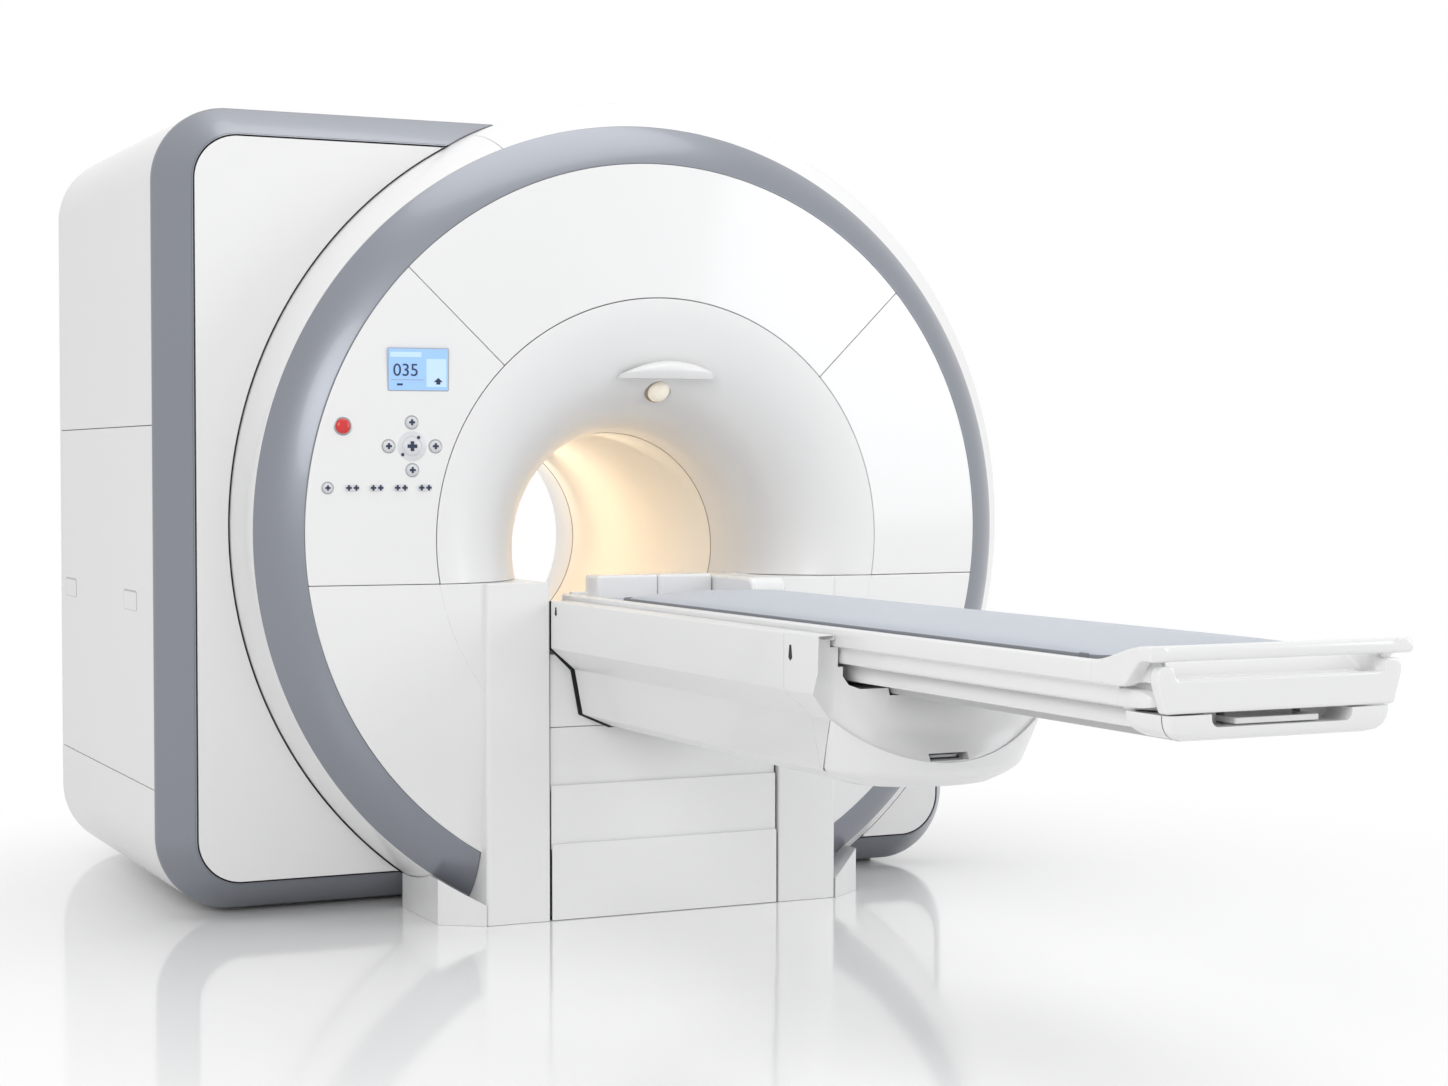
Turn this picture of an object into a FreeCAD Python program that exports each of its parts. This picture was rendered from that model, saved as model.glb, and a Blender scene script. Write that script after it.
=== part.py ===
import FreeCAD, Part
import math
import os
import re
import Sketcher

# A cylindrical-bore scanner with its patient table. X is right seen from the foot of
# the table, Y runs into the bore, Z is up, and the origin is on the floor under the bore,
# in the plane of the circular seam round the bore cover.

DIMENSIONS = {
    # bore and its trumpet-shaped cover
    "bore_radius": 300, "bore_height": 905, "tunnel_start": 364, "tunnel_end": 1342,
    "seam_radius": 600, "seam_height": 937, "rear_mouth": 520, "skin": 8, "gap": 1.5,
    "lamp_across": 27, "lamp_height": 1307, "lamp_radius": 27, "brow_base": 1336,
    # round face, grey ring and white flank behind it
    "face_radius": 916, "face_set_back": 28, "ring_radius": 1020, "ring_height": 956,
    "ring_set_back": 112, "ring_bulge": 9, "flank_radius": 1096, "flank_shift": 81, "flank_rise": 10,
    "rim_set_back": 450, "rim_radius": 1112, "rim_shift": 125, "rim_rise": 12,
    "tail_set_back": 620, "tail_radius": 1030, "tail_shift": 30, "flank_seam": 386,
    # housing, its bevelled band and flat front panels
    "housing_left": 1177, "housing_right": 1066, "housing_top": 2005, "housing_floor": 12,
    "housing_front": 460, "housing_rear": 1750, "corner_radius": 190, "crown_radius": 985,
    "rear_radius": 150, "panel_set_back": 340, "band_width": 77, "band_slope": 110,
    "shadow_gap": 4, "upper_seam": 1218, "lower_seam": 315, "grip_wide": 150, "grip_tall": 52,
    "grip_deep": 26, "grip_height": 775, "grip_front": 715, "grip_back": 1472, "foot_radius": 24,
    # pedestal under the bore
    "shelf_height": 834, "pillar_outer": 478, "pillar_inner": 314, "pillar_front": 13,
    "pillar_back": 290, "pillar_wall": 6, "plinth_reach": 579,
    "kick_half": 308, "kick_low": 190, "kick_middle": 334, "kick_top": 476, "apron_top": 655,
    "sheet_metal": 5, "panel_pitch": 7, "overlap": 15,
    "column_radius": 20, "column_offset": 262, "column_depth": 130, "rod_depth": 225,
    "barrel_radius": 42, "barrel_top": 330, "running_fit": 0.05,
    # magnet and coils inside
    "magnet_start": 300, "magnet_end": 1400, "vessel_radius": 850, "vessel_bore": 470,
    "gradient_outer": 455, "gradient_inner": 345, "rf_outer": 338, "rf_inner": 312,
    # table beam
    "beam_half": 312, "beam_top": 788, "shoulder": 672, "waist": 618, "waist_half": 250,
    "beam_foot": 507, "beam_foot_half": 229, "beam_base": 474, "beam_base_half": 152,
    "beam_start": 16, "beam_seam": 1268, "beam_end": 1416, "lip_half": 264, "beam_wall": 6,
    "trough_shelf": 717, "trough_step": 674, "trough_floor": 661,
    "frame_half": 195, "frame_low": 520, "frame_high": 636, "glide_top": 689.6,
    # belly pan that closes the beam below its slanted tip, and the latch in it
    "belly_front": 1364, "belly_dip": 524, "latch_depth": 1350, "latch_height": 534,
    "drive_depth": 1140,
    # tabletop
    "tray_half": 258, "tray_top": 802, "tray_bed": 777, "tray_head": 60, "tray_foot": 2330,
    "tray_keel": 664, "mattress_half": 233, "mattress_top": 808, "mattress_step": 262, "mattress_thin": 791,
    "foot_half": 262, "foot_end": 2450, "loop_back": 2380, "handle_low": 806, "handle_high": 834,
    "box_top": 779, "box_seam": 723, "box_base": 679, "grip_half": 212, "slot_half": 142,
    # control panel on the face
    "screen_left": 714, "screen_right": 567, "screen_low": 1298, "screen_high": 1399,
    "pad_across": 658, "pad_height": 1165, "pad_reach": 57, "key_radius": 13, "hub_radius": 21,
    "row_across": 862, "row_pitch": 58.5, "row_height": 1066, "key_wide": 34, "key_tall": 16,
    "stop_across": 824, "stop_height": 1212, "stop_radius": 18, "key_proud": 4,
}

doc = FreeCAD.newDocument("scanner")
sizes = doc.addObject("Spreadsheet::Sheet", "sizes")
for row, (alias, number) in enumerate(DIMENSIONS.items(), start=1):
    sizes.set(f"A{row}", alias)
    sizes.set(f"B{row}", str(number))
    sizes.setAlias(f"B{row}", alias)
doc.recompute()

VIEWS = {"front": ("XZ_Plane", -1), "side": ("YZ_Plane", 1), "plan": ("XY_Plane", 1)}
pieces = []


# ---------------------------------------------------------------- drawing helpers

def bound(expression):
    """The expression with every driving dimension named as a cell of the sheet."""
    text = str(expression)
    named = lambda word: "sizes." + word[0] if word[0] in DIMENSIONS else word[0]
    return re.sub(r"[a-z][a-z_]*", named, text)


def measure(expression):
    return float(sizes.evalExpression(bound(expression)))


def new_body(label):
    body = doc.addObject("PartDesign::Body", label)
    body.Label = label
    return body


def new_sketch(body, view, at, across="0", up="0"):
    """A sketch in the front view (X, Z), side view (Y, Z) or plan (X, Y), at a place along its normal."""
    role, sign = VIEWS[view]
    sketch = body.newObject("Sketcher::SketchObject", body.Label + "_sketch")
    plane = [feature for feature in body.Origin.OriginFeatures if feature.Role == role][0]
    sketch.AttachmentSupport = [(plane, "")]
    sketch.MapMode = "FlatFace"
    sketch.setExpression(".AttachmentOffset.Base.x", bound(across))
    sketch.setExpression(".AttachmentOffset.Base.y", bound(up))
    sketch.setExpression(".AttachmentOffset.Base.z", bound(f"{sign} * ({at})"))
    return sketch


def hold(sketch, kind, geometry, point, expression):
    """Place one point of the sketch by a driving dimension."""
    index = sketch.addConstraint(Sketcher.Constraint(kind, -1, 1, geometry, point, measure(expression)))
    sketch.setExpression(f"Constraints[{index}]", bound(expression))


def outline(points):
    """A closed outline. A point with two more numbers starts an arc through that middle point."""
    def draw(sketch):
        places = [FreeCAD.Vector(measure(p[0]), measure(p[1]), 0) for p in points]
        ends = []
        for index, point in enumerate(points):
            start = places[index]
            end = places[(index + 1) % len(places)]
            anticlockwise = True
            if len(point) == 4:
                middle = FreeCAD.Vector(measure(point[2]), measure(point[3]), 0)
                curve = Part.Arc(start, middle, end)
                anticlockwise = (middle - start).cross(end - middle).z > 0
            else:
                curve = Part.LineSegment(start, end)
            number = sketch.addGeometry(curve)
            ends.append((number, 1, 2) if anticlockwise else (number, 2, 1))
        for index, (number, first, last) in enumerate(ends):
            following = ends[(index + 1) % len(ends)]
            sketch.addConstraint(Sketcher.Constraint("Coincident", number, last, following[0], following[1]))
            hold(sketch, "DistanceX", number, first, points[index][0])
            hold(sketch, "DistanceY", number, first, points[index][1])
    return draw


def rectangle(left, right, low, high):
    return outline([(left, low), (right, low), (right, high), (left, high)])


def circles(*rounds):
    """One or more full circles, each given as centre across, centre up and radius."""
    def draw(sketch):
        for across, up, radius in rounds:
            centre = FreeCAD.Vector(measure(across), measure(up), 0)
            number = sketch.addGeometry(Part.Circle(centre, FreeCAD.Vector(0, 0, 1), measure(radius)))
            hold(sketch, "DistanceX", number, 3, across)
            hold(sketch, "DistanceY", number, 3, up)
            index = sketch.addConstraint(Sketcher.Constraint("Radius", number, measure(radius)))
            sketch.setExpression(f"Constraints[{index}]", bound(radius))
    return draw


def pad(body, view, draw, start, end):
    """Material from start to end along the view's normal."""
    sketch = new_sketch(body, view, end if view == "front" else start)
    draw(sketch)
    feature = body.newObject("PartDesign::Pad", body.Label + "_pad")
    feature.Profile = sketch
    feature.setExpression("Length", bound(f"({end}) - ({start})"))
    doc.recompute([body])
    return feature


def pocket(body, view, draw, start, end):
    """A cut from start to end along the view's normal, which has to remove something."""
    before = body.Shape.Volume
    sketch = new_sketch(body, view, start if view == "front" else end)
    draw(sketch)
    feature = body.newObject("PartDesign::Pocket", body.Label + "_pocket")
    feature.Profile = sketch
    feature.setExpression("Length", bound(f"({end}) - ({start})"))
    doc.recompute([body])
    if body.Shape.Volume > before - 1:
        raise RuntimeError(f"{body.Label}: a pocket removed nothing")
    return feature


def loft(body, view, sections, kind="Additive", ruled=False):
    """A skin through outlines given as (place along the normal, drawing)."""
    sketches = []
    for at, draw in sections:
        sketch = new_sketch(body, view, at)
        draw(sketch)
        sketches.append(sketch)
    feature = body.newObject(f"PartDesign::{kind}Loft", body.Label + "_loft")
    feature.Profile = sketches[0]
    feature.Sections = sketches[1:]
    feature.Ruled = ruled
    doc.recompute([body])
    return feature


def turned(body, height, draw):
    """A full turn round the line along Y at the given height. The outline is (depth, radius)."""
    sketch = new_sketch(body, "side", "0", up=height)
    draw(sketch)
    feature = body.newObject("PartDesign::Revolution", body.Label + "_turn")
    feature.Profile = sketch
    feature.ReferenceAxis = (sketch, ["H_Axis"])
    feature.Angle = 360
    doc.recompute([body])
    return feature


def along(edge, axis):
    """True for a straight edge along X, Y or Z (0, 1 or 2)."""
    if edge.Curve.TypeId != "Part::GeomLine":
        return False
    return abs(abs(edge.tangentAt(edge.FirstParameter)[axis]) - 1) < 1e-6


def round_edges(body, radius, test, kind="Fillet"):
    base = body.Tip
    chosen = [f"Edge{n}" for n, edge in enumerate(base.Shape.Edges, start=1) if test(edge)]
    feature = body.newObject(f"PartDesign::{kind}", body.Label + "_" + kind.lower())
    feature.Base = (base, chosen)
    feature.setExpression("Radius" if kind == "Fillet" else "Size", bound(radius))
    doc.recompute([body])
    return feature


def join(kind, label, base, tools):
    """A boolean of finished forms: Cut, Common or Fuse."""
    tool = tools[0]
    if len(tools) > 1:
        tool = doc.addObject("Part::MultiFuse", label + "_tools")
        tool.Shapes = tools
    result = doc.addObject("Part::" + kind, label)
    result.Base = base
    result.Tool = tool
    result.Label = label
    doc.recompute([result])
    return result


def block(label, left, right, front, back, low, high):
    box = doc.addObject("Part::Box", label)
    box.setExpression("Placement.Base.x", bound(left))
    box.setExpression("Placement.Base.y", bound(front))
    box.setExpression("Placement.Base.z", bound(low))
    box.setExpression("Length", bound(f"({right}) - ({left})"))
    box.setExpression("Width", bound(f"({back}) - ({front})"))
    box.setExpression("Height", bound(f"({high}) - ({low})"))
    doc.recompute([box])
    return box


def prism(label, view, draw, start, end):
    body = new_body(label)
    pad(body, view, draw, start, end)
    return body


def keep(label, piece):
    """List a finished piece under the name that its file takes."""
    piece.Label = label
    pieces.append(piece)
    return piece


def mirrored(points, side):
    """The same outline on the left (-1) or the right (1)."""
    return [(f"{side} * ({p[0]})", p[1]) for p in points]


# ---------------------------------------------------------------- bore covers and magnet

def trumpet(label, face_at, bore_at, mouth, mouth_height):
    """A flared cover: a quarter of an ellipse from the bore's wall to the face, drifting in height."""
    body = new_body(label)
    behind = f"(({bore_at}) > ({face_at}) ? 1 : -1)"
    brim = f"(({face_at}) - {behind})"
    visible = []
    back = []
    for step in range(7):
        turn = step * 15
        at = f"({bore_at}) + ({brim} - ({bore_at})) * sin({turn} deg)"
        opened = f"(1 - cos({turn} deg))"
        radius = f"bore_radius + (({mouth}) - bore_radius) * {opened}"
        height = f"bore_height + (({mouth_height}) - bore_height) * {opened}"
        visible.append((at, circles(("0", height, radius))))
        back.append((f"{at} + {behind} * skin * sin({turn} deg)",
                     circles(("0", height, f"{radius} + skin * cos({turn} deg) - 4 * {opened}"))))
    edges = sorted([face_at, f"({face_at}) + {behind} * skin"], key=measure)
    pad(body, "front", circles(("0", mouth_height, f"({mouth}) - gap")), edges[0], edges[1])
    loft(body, "front", back)
    loft(body, "front", visible, "Subtractive")
    return body


def bore_covers():
    funnel = trumpet("funnel_form", "0", "tunnel_start", "seam_radius", "seam_height")
    table_way = block("table_way", "-seam_radius - 20", "seam_radius + 20", "-20", "pillar_back",
                      "0", "shelf_height + gap / 2")
    lens_way = prism("lens_way", "front", circles(("lamp_across", "lamp_height", "lamp_radius + 0.5")),
                     "0", "200")
    keep("bore_funnel", join("Cut", "bore_funnel", funnel, [table_way, lens_way]))
    keep("rear_funnel", trumpet("rear_funnel", "housing_rear", "tunnel_end", "rear_mouth", "bore_height"))
    tunnel = new_body("bore_tunnel")
    turned(tunnel, "bore_height", rectangle("tunnel_start + gap", "tunnel_end - gap",
                                            "bore_radius", "bore_radius + 6"))
    for side in (-1, 1):
        rib = mirrored([("140", "bore_height - 267"), ("185", "bore_height - 239"),
                        ("185", "glide_top"), ("140", "glide_top")], side)
        pad(tunnel, "front", outline(rib), "tunnel_start + gap", "tunnel_end - gap")
    keep("bore_tunnel", tunnel)
    # the brow above the mouth: a shallow dome seated on the flare, with a round lamp under it
    brow = new_body("brow_form")
    loft(brow, "plan", [(height, circles(("lamp_across", "95", radius))) for height, radius in
                        (("brow_base", "128"), ("brow_base + 12", "124"), ("brow_base + 30", "104"),
                         ("brow_base + 46", "70"))], ruled=True)
    keep("brow", join("Cut", "brow", brow, [flare_filler()]))
    keep("brow_lens", prism("brow_lens", "front", circles(("lamp_across", "lamp_height", "lamp_radius")),
                            "85", "150"))


def flare_filler():
    """Everything on the far side of the flared surface, with a hair of room, to seat the brow."""
    body = new_body("flare_filler")
    pad(body, "front", circles(("0", "seam_height", "seam_radius + 60")), "-1.8", "tunnel_start")
    sections = []
    for step in range(7):
        turn = step * 15
        at = f"tunnel_start - (tunnel_start + 1) * sin({turn} deg) - 0.8"
        radius = f"bore_radius + (seam_radius - bore_radius) * (1 - cos({turn} deg)) - 0.5"
        height = f"bore_height + (seam_height - bore_height) * (1 - cos({turn} deg))"
        sections.append((at, circles(("0", height, radius))))
    loft(body, "front", sections, "Subtractive")
    return body


def magnet():
    vessel = new_body("cryostat_vessel")
    turned(vessel, "bore_height", rectangle("magnet_start", "magnet_end", "vessel_bore", "vessel_radius"))
    round_edges(vessel, "60", lambda edge: abs(edge.BoundBox.ZLength - 2 * measure("vessel_radius")) < 1)
    for side in (-1, 1):
        for front in ("tail_set_back + 40", "magnet_end - 220"):
            foot = mirrored([("350", "housing_floor + skin + 0.5"), ("600", "housing_floor + skin + 0.5"),
                             ("600", "300"), ("350", "300")], side)
            pad(vessel, "front", outline(foot), front, f"{front} + 140")
    keep("cryostat_vessel", vessel)
    gradient = new_body("gradient_coil")
    turned(gradient, "bore_height", rectangle("magnet_start + 120", "magnet_end - 120",
                                              "gradient_inner", "gradient_outer"))
    keep("gradient_coil", gradient)
    body_coil = new_body("body_coil")
    turned(body_coil, "bore_height", rectangle("magnet_start + 260", "magnet_end - 260",
                                               "rf_inner", "rf_outer"))
    keep("body_coil", body_coil)
    head = new_body("cold_head_form")
    pad(head, "plan", circles(("0", "magnet_end - 300", "110")), "1650", "1800")
    pad(head, "plan", circles(("0", "magnet_end - 300", "75")), "1800", "1900")
    pad(head, "plan", circles(("0", "magnet_end - 300", "95")), "1900", "1970")
    shell = new_body("vessel_filler")
    turned(shell, "bore_height", rectangle("magnet_start", "magnet_end",
                                           "vessel_bore", "vessel_radius + 0.5"))
    keep("cold_head", join("Cut", "cold_head", head, [shell]))


# ---------------------------------------------------------------- round face

def face_form():
    """A shallow cone between the seam circle and the ring, whose centres are not at one height."""
    body = new_body("face_form")
    near = circles(("0", "seam_height", "seam_radius"))
    far = circles(("0", "ring_height", "face_radius"))
    pad(body, "front", far, "face_set_back", "face_set_back + skin")
    loft(body, "front", [("0", near), ("face_set_back", far)], ruled=True)
    loft(body, "front", [("skin", near), ("face_set_back + skin", far)], "Subtractive", ruled=True)
    pocket(body, "front", circles(("0", "seam_height", "seam_radius + gap / 2")), "-5", "60")
    return body


def wedge(label, points):
    return prism(label, "front", outline(points), "-30", "80")


def face_panels():
    face = face_form()
    left_out = "1500 * cos(135 deg)"
    left_up = "seam_height + 1500 * sin(135 deg)"
    right_out = "1500 * cos(43 deg)"
    right_up = "seam_height + 1500 * sin(43 deg)"
    above = wedge("top_wedge", [("0", "seam_height + gap"), (right_out, f"{right_up} + gap"),
                                (right_out, "2400"), (left_out, "2400"), (left_out, f"{left_up} + gap")])
    left = wedge("left_wedge", [("-gap", "seam_height"), (f"{left_out} - gap", left_up),
                                ("-1500", left_up), ("-1500", "shelf_height + gap / 2"),
                                ("-gap", "shelf_height + gap / 2")])
    right = wedge("right_wedge", [("gap", "seam_height"), ("gap", "shelf_height + gap / 2"),
                                  ("1500", "shelf_height + gap / 2"), ("1500", right_up),
                                  (f"{right_out} + gap", right_up)])
    keep("face_top", join("Common", "face_top", face, [above]))
    keep("face_right", join("Common", "face_right", face, [right]))
    panel = join("Common", "face_left_form", face, [left])
    keep("face_left", join("Cut", "face_left", panel, key_holes()))
    for side, name in ((-1, "left"), (1, "right")):
        keep(f"pedestal_{name}", pedestal_cover(face, name, side))


def pedestal_cover(face, name, side):
    """Lower face panel and the pillar beside the table, moulded as one cover open at the back."""
    low = mirrored([("pillar_outer - 4", "0"), ("1500", "0"), ("1500", "shelf_height - gap / 2"),
                    ("pillar_outer - 4", "shelf_height - gap / 2")], side)
    lower = wedge(f"lower_wedge_{name}", low)
    panel = join("Common", f"lower_panel_{name}", face, [lower])
    pillar = new_body(f"pillar_{name}")
    block_outline = mirrored([("pillar_inner", "0"), ("pillar_outer", "0"),
                              ("pillar_outer", "shelf_height - gap / 2"),
                              ("pillar_inner", "shelf_height - gap / 2")], side)
    pad(pillar, "front", outline(block_outline), "-pillar_front", "pillar_back")
    round_edges(pillar, "10", lambda edge: along(edge, 2)
                and abs(edge.CenterOfMass.y + measure("pillar_front")) < 1
                and abs(edge.CenterOfMass.x) > measure("pillar_outer") - 1)
    hollow = mirrored([("pillar_inner + pillar_wall", "pillar_wall"),
                       ("pillar_outer - pillar_wall", "pillar_wall"),
                       ("pillar_outer - pillar_wall", "shelf_height - gap / 2 - pillar_wall"),
                       ("pillar_inner + pillar_wall", "shelf_height - gap / 2 - pillar_wall")], side)
    pocket(pillar, "front", outline(hollow), "-pillar_front + pillar_wall", "pillar_back + 1")
    ledge = mirrored([("pillar_outer - 3", "6"), ("seam_radius - 12", "6"), ("seam_radius - 60", "24"),
                      ("pillar_outer - 3", "48")], side)
    shelf = prism(f"ledge_{name}", "plan", outline(ledge), "shelf_height - gap / 2 - pillar_wall",
                  "shelf_height - gap / 2")
    disc = prism(f"infill_disc_{name}", "front", circles(("0", "seam_height", "seam_radius + 2")),
                 "0", "skin")
    ends = sorted([f"{side} * (pillar_outer - 4)", f"{side} * (seam_radius + 20)"], key=measure)
    corner = block(f"infill_zone_{name}", ends[0], ends[1], "-5", "20", "0", "shelf_height - gap / 2")
    infill = join("Common", f"infill_{name}", disc, [corner])
    return join("Fuse", f"pedestal_{name}", panel, [pillar, shelf, infill])


def ring():
    """The grey bevelled ring, slightly domed across its width and cut off at the pedestal."""
    body = new_body("front_ring")
    inner = "face_radius + gap"
    middle = "(face_set_back + ring_set_back) / 2"
    turned(body, "ring_height", outline([
        ("face_set_back", inner, f"{middle} - ring_bulge * 0.78",
         "(face_radius + ring_radius) / 2 + ring_bulge * 0.63"),
        ("ring_set_back", "ring_radius"),
        ("ring_set_back", "ring_radius - 12"),
        ("face_set_back + 12", inner)]))
    pocket(body, "front", rectangle("-pillar_outer - gap", "pillar_outer + gap", "-400", "400"),
           "-50", "200")
    keep("front_ring", body)


# ---------------------------------------------------------------- flank behind the ring

def barrel(label, growth, nose=False):
    """The white flank's form: a skin through three circles that drift right, then a closing taper."""
    body = new_body(label)
    start = circles(("0", "ring_height", f"ring_radius + ({growth})"))
    rim = circles(("rim_shift", "ring_height + rim_rise", f"rim_radius + ({growth})"))
    loft(body, "front", [
        ("ring_set_back + gap", start),
        ("panel_set_back", circles(("flank_shift", "ring_height + flank_rise",
                                    f"flank_radius + ({growth})"))),
        ("rim_set_back", rim)])
    loft(body, "front", [
        ("rim_set_back", rim),
        ("tail_set_back", circles(("tail_shift", "ring_height + flank_rise", f"tail_radius + ({growth})")))],
        ruled=True)
    if nose:
        middle = f"(face_radius + ring_radius) / 2 + ring_bulge + ({growth})"
        loft(body, "front", [("face_set_back", circles(("0", "ring_height", f"face_radius + ({growth})"))),
                             ("(face_set_back + ring_set_back) / 2", circles(("0", "ring_height", middle))),
                             ("ring_set_back + gap", start)])
    return body


def flank():
    shell = join("Cut", "flank_shell", barrel("flank_outside", "0"), [barrel("flank_inside", "-skin")])
    floor = block("flank_floor", "-1600", "1600", "0", "800", "-400", "housing_floor + gap")
    passage = block("flank_passage", "-pillar_outer - gap", "pillar_outer + gap", "0", "800", "-400", "400")
    shell = join("Cut", "flank_open", shell, [floor, passage])
    left = block("flank_left_box", "-1600", "-flank_seam - gap / 2", "0", "800", "-100", "2400")
    rest = block("flank_rest_box", "-flank_seam + gap / 2", "1600", "0", "800", "-100", "2400")
    keep("flank_left", join("Common", "flank_left", shell, [left]))
    keep("flank_upper_right", join("Common", "flank_upper_right", shell, [rest]))


# ---------------------------------------------------------------- housing

def housing_prism(label, inset, start, end):
    """The housing's outline: three tight corners and one wide crown at the top right."""
    body = new_body(label)
    pad(body, "front", rectangle(f"-housing_left + {inset}", f"housing_right - {inset}",
                                 f"housing_floor + {inset}", f"housing_top - {inset}"), start, end)
    crown = lambda edge: edge.CenterOfMass.x > 0 and edge.CenterOfMass.z > 1000
    round_edges(body, f"corner_radius - {inset}", lambda edge: along(edge, 1) and not crown(edge))
    round_edges(body, f"crown_radius - {inset}", lambda edge: along(edge, 1) and crown(edge)
                and abs(edge.BoundBox.XMax - measure(f"housing_right - {inset}")) < 1
                and abs(edge.BoundBox.ZMax - measure(f"housing_top - {inset}")) < 1)
    return body


def housing(flank_room):
    form = housing_prism("housing_form", "0", "housing_front + gap", "housing_rear")
    rear = lambda edge: edge.BoundBox.YMin > measure("housing_rear") - 1
    round_edges(form, "rear_radius", rear)
    base = form.Tip
    open_face = [f"Face{n}" for n, face in enumerate(base.Shape.Faces, start=1)
                 if face.BoundBox.YMax < measure("housing_front + gap") + 1]
    shell = form.newObject("PartDesign::Thickness", "housing_shell")
    shell.Base = (base, open_face)
    shell.setExpression("Value", bound("skin"))
    shell.Reversed = True
    shell.Mode = 0
    shell.Join = 0
    doc.recompute([form])
    mouth = prism("rear_mouth_form", "front", circles(("0", "bore_height", "rear_mouth")),
                  "tunnel_end", "housing_rear + 20")
    trimmed = join("Cut", "housing_trimmed", form, [flank_room, mouth])
    split = "housing_rear - rear_radius"
    zones = {
        "upper_cover": ("-1300", "1300", "0", f"{split} - gap", "upper_seam + gap / 2", "2200"),
        "left_cover": ("-1300", "0", "0", f"{split} - gap", "lower_seam + gap / 2", "upper_seam - gap / 2"),
        "right_cover": ("0", "1300", "0", f"{split} - gap", "lower_seam + gap / 2", "upper_seam - gap / 2"),
        "left_lower_cover": ("-1300", "-gap / 2", "0", f"{split} - gap", "0", "lower_seam - gap / 2"),
        "right_lower_cover": ("gap / 2", "1300", "0", f"{split} - gap", "0", "lower_seam - gap / 2"),
        "rear_cover": ("-1300", "1300", split, "1900", "0", "2200"),
    }
    for name, zone in zones.items():
        piece = join("Common", name + "_part", trimmed, [block(name + "_zone", *zone)])
        if name == "left_cover":
            piece = finger_grips(piece, name, "-housing_left", -1)
        if name == "right_cover":
            piece = finger_grips(piece, name, "housing_right", 1)
        keep(name, piece)


def finger_grips(piece, name, wall, side):
    """Two recessed grips in a side cover, each a moulded cup behind the skin."""
    for front in ("grip_front", "grip_back"):
        middle = f"{front}"
        cups = []
        for grow, deep in (("skin", "grip_deep + skin"), ("0", "grip_deep")):
            proud = "0" if grow == "skin" else "5"
            ends = sorted([f"{wall} - {side} * ({deep})", f"{wall} + {side} * ({proud})"], key=measure)
            cups.append(block(f"{name}_{front}_{len(cups)}", ends[0], ends[1],
                              f"{middle} - grip_wide / 2 - {grow}", f"{middle} + grip_wide / 2 + {grow}",
                              f"grip_height - grip_tall / 2 - {grow}",
                              f"grip_height + grip_tall / 2 + {grow}"))
        piece = join("Fuse", f"{name}_{front}_boss", piece, [cups[0]])
        piece = join("Cut", f"{name}_{front}_cup", piece, [cups[1]])
    return piece


def band_form(label, start):
    """The outline prism with its front edge bevelled back, as the grey band runs."""
    body = housing_prism(label, "0", start, f"{start} + band_slope + 10")
    base = body.Tip
    front = [f"Edge{n}" for n, edge in enumerate(base.Shape.Edges, start=1)
             if edge.BoundBox.YMax < measure(start) + 1]
    bevel = body.newObject("PartDesign::Chamfer", label + "_bevel")
    bevel.Base = (base, front)
    bevel.ChamferType = 1
    bevel.setExpression("Size", bound("band_slope"))
    bevel.setExpression("Size2", bound("band_width"))
    doc.recompute([body])
    if abs(min(face.BoundBox.XLength for face in body.Shape.Faces
               if face.BoundBox.YMax < measure(start) + 0.1)
           - measure("housing_left + housing_right - 2 * band_width")) > 1:
        bevel.FlipDirection = True
        doc.recompute([body])
    return body


def front_trim():
    clearance = barrel("trim_clearance", "shadow_gap", nose=True)
    opening = housing_prism("band_opening", "band_width", "0", "housing_front + 40")
    band = join("Cut", "band_full", band_form("band_outside", "panel_set_back"),
                [band_form("band_inside", "panel_set_back + 14"), opening])
    keep("edge_band", join("Cut", "edge_band", band, [clearance]))
    panel = housing_prism("panel_form", "(band_width + shadow_gap)",
                          "panel_set_back", "panel_set_back + skin")
    panel = join("Cut", "panel_cut", panel, [clearance])
    for name, left, right in (("left", "-1300", "-gap"), ("right", "gap", "1300")):
        side = block(f"panel_{name}_side", left, right, "200", "500", "0", "2200")
        keep(f"front_panel_{name}", join("Common", f"front_panel_{name}", panel, [side]))


# ---------------------------------------------------------------- what it stands on

def plinths(flank_room):
    """Two low feet beside the pedestal, hollowed under the ring and the flank."""
    ring_room = prism("ring_room", "front", circles(("0", "ring_height", "ring_radius + 4")),
                      "-60", "ring_set_back + 4")
    solids = []
    for side in (-1, 1):
        ends = sorted([f"{side} * (pillar_outer + gap)", f"{side} * (plinth_reach + 10)"], key=measure)
        rise = rectangle("-pillar_front", "panel_set_back - 8", "0", "135")
        foot = prism(f"foot_form_{side + 1}", "side", rise, ends[0], ends[1])
        plan = mirrored([("pillar_outer + gap", "-pillar_front"), ("plinth_reach", "60"),
                         ("plinth_reach", "400"), ("pillar_outer + gap", "400")], side)
        shape = prism(f"foot_plan_{side + 1}", "plan", outline(plan), "0", "200")
        solids.append(join("Common", f"foot_solid_{side + 1}", foot, [shape]))
    both = doc.addObject("Part::Compound", "foot_pair")
    both.Links = solids
    keep("plinths", join("Cut", "plinths", both, [flank_room, ring_room]))


def levelling_feet():
    places = [(x, y) for x in ("-housing_left + 200", "housing_right - 200")
              for y in ("housing_front + 90", "housing_rear - 220")]
    rounds = [(x, y, "foot_radius") for x, y in places]
    keep("levelling_feet", prism("levelling_feet", "plan", circles(*rounds), "0", "housing_floor"))


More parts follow.
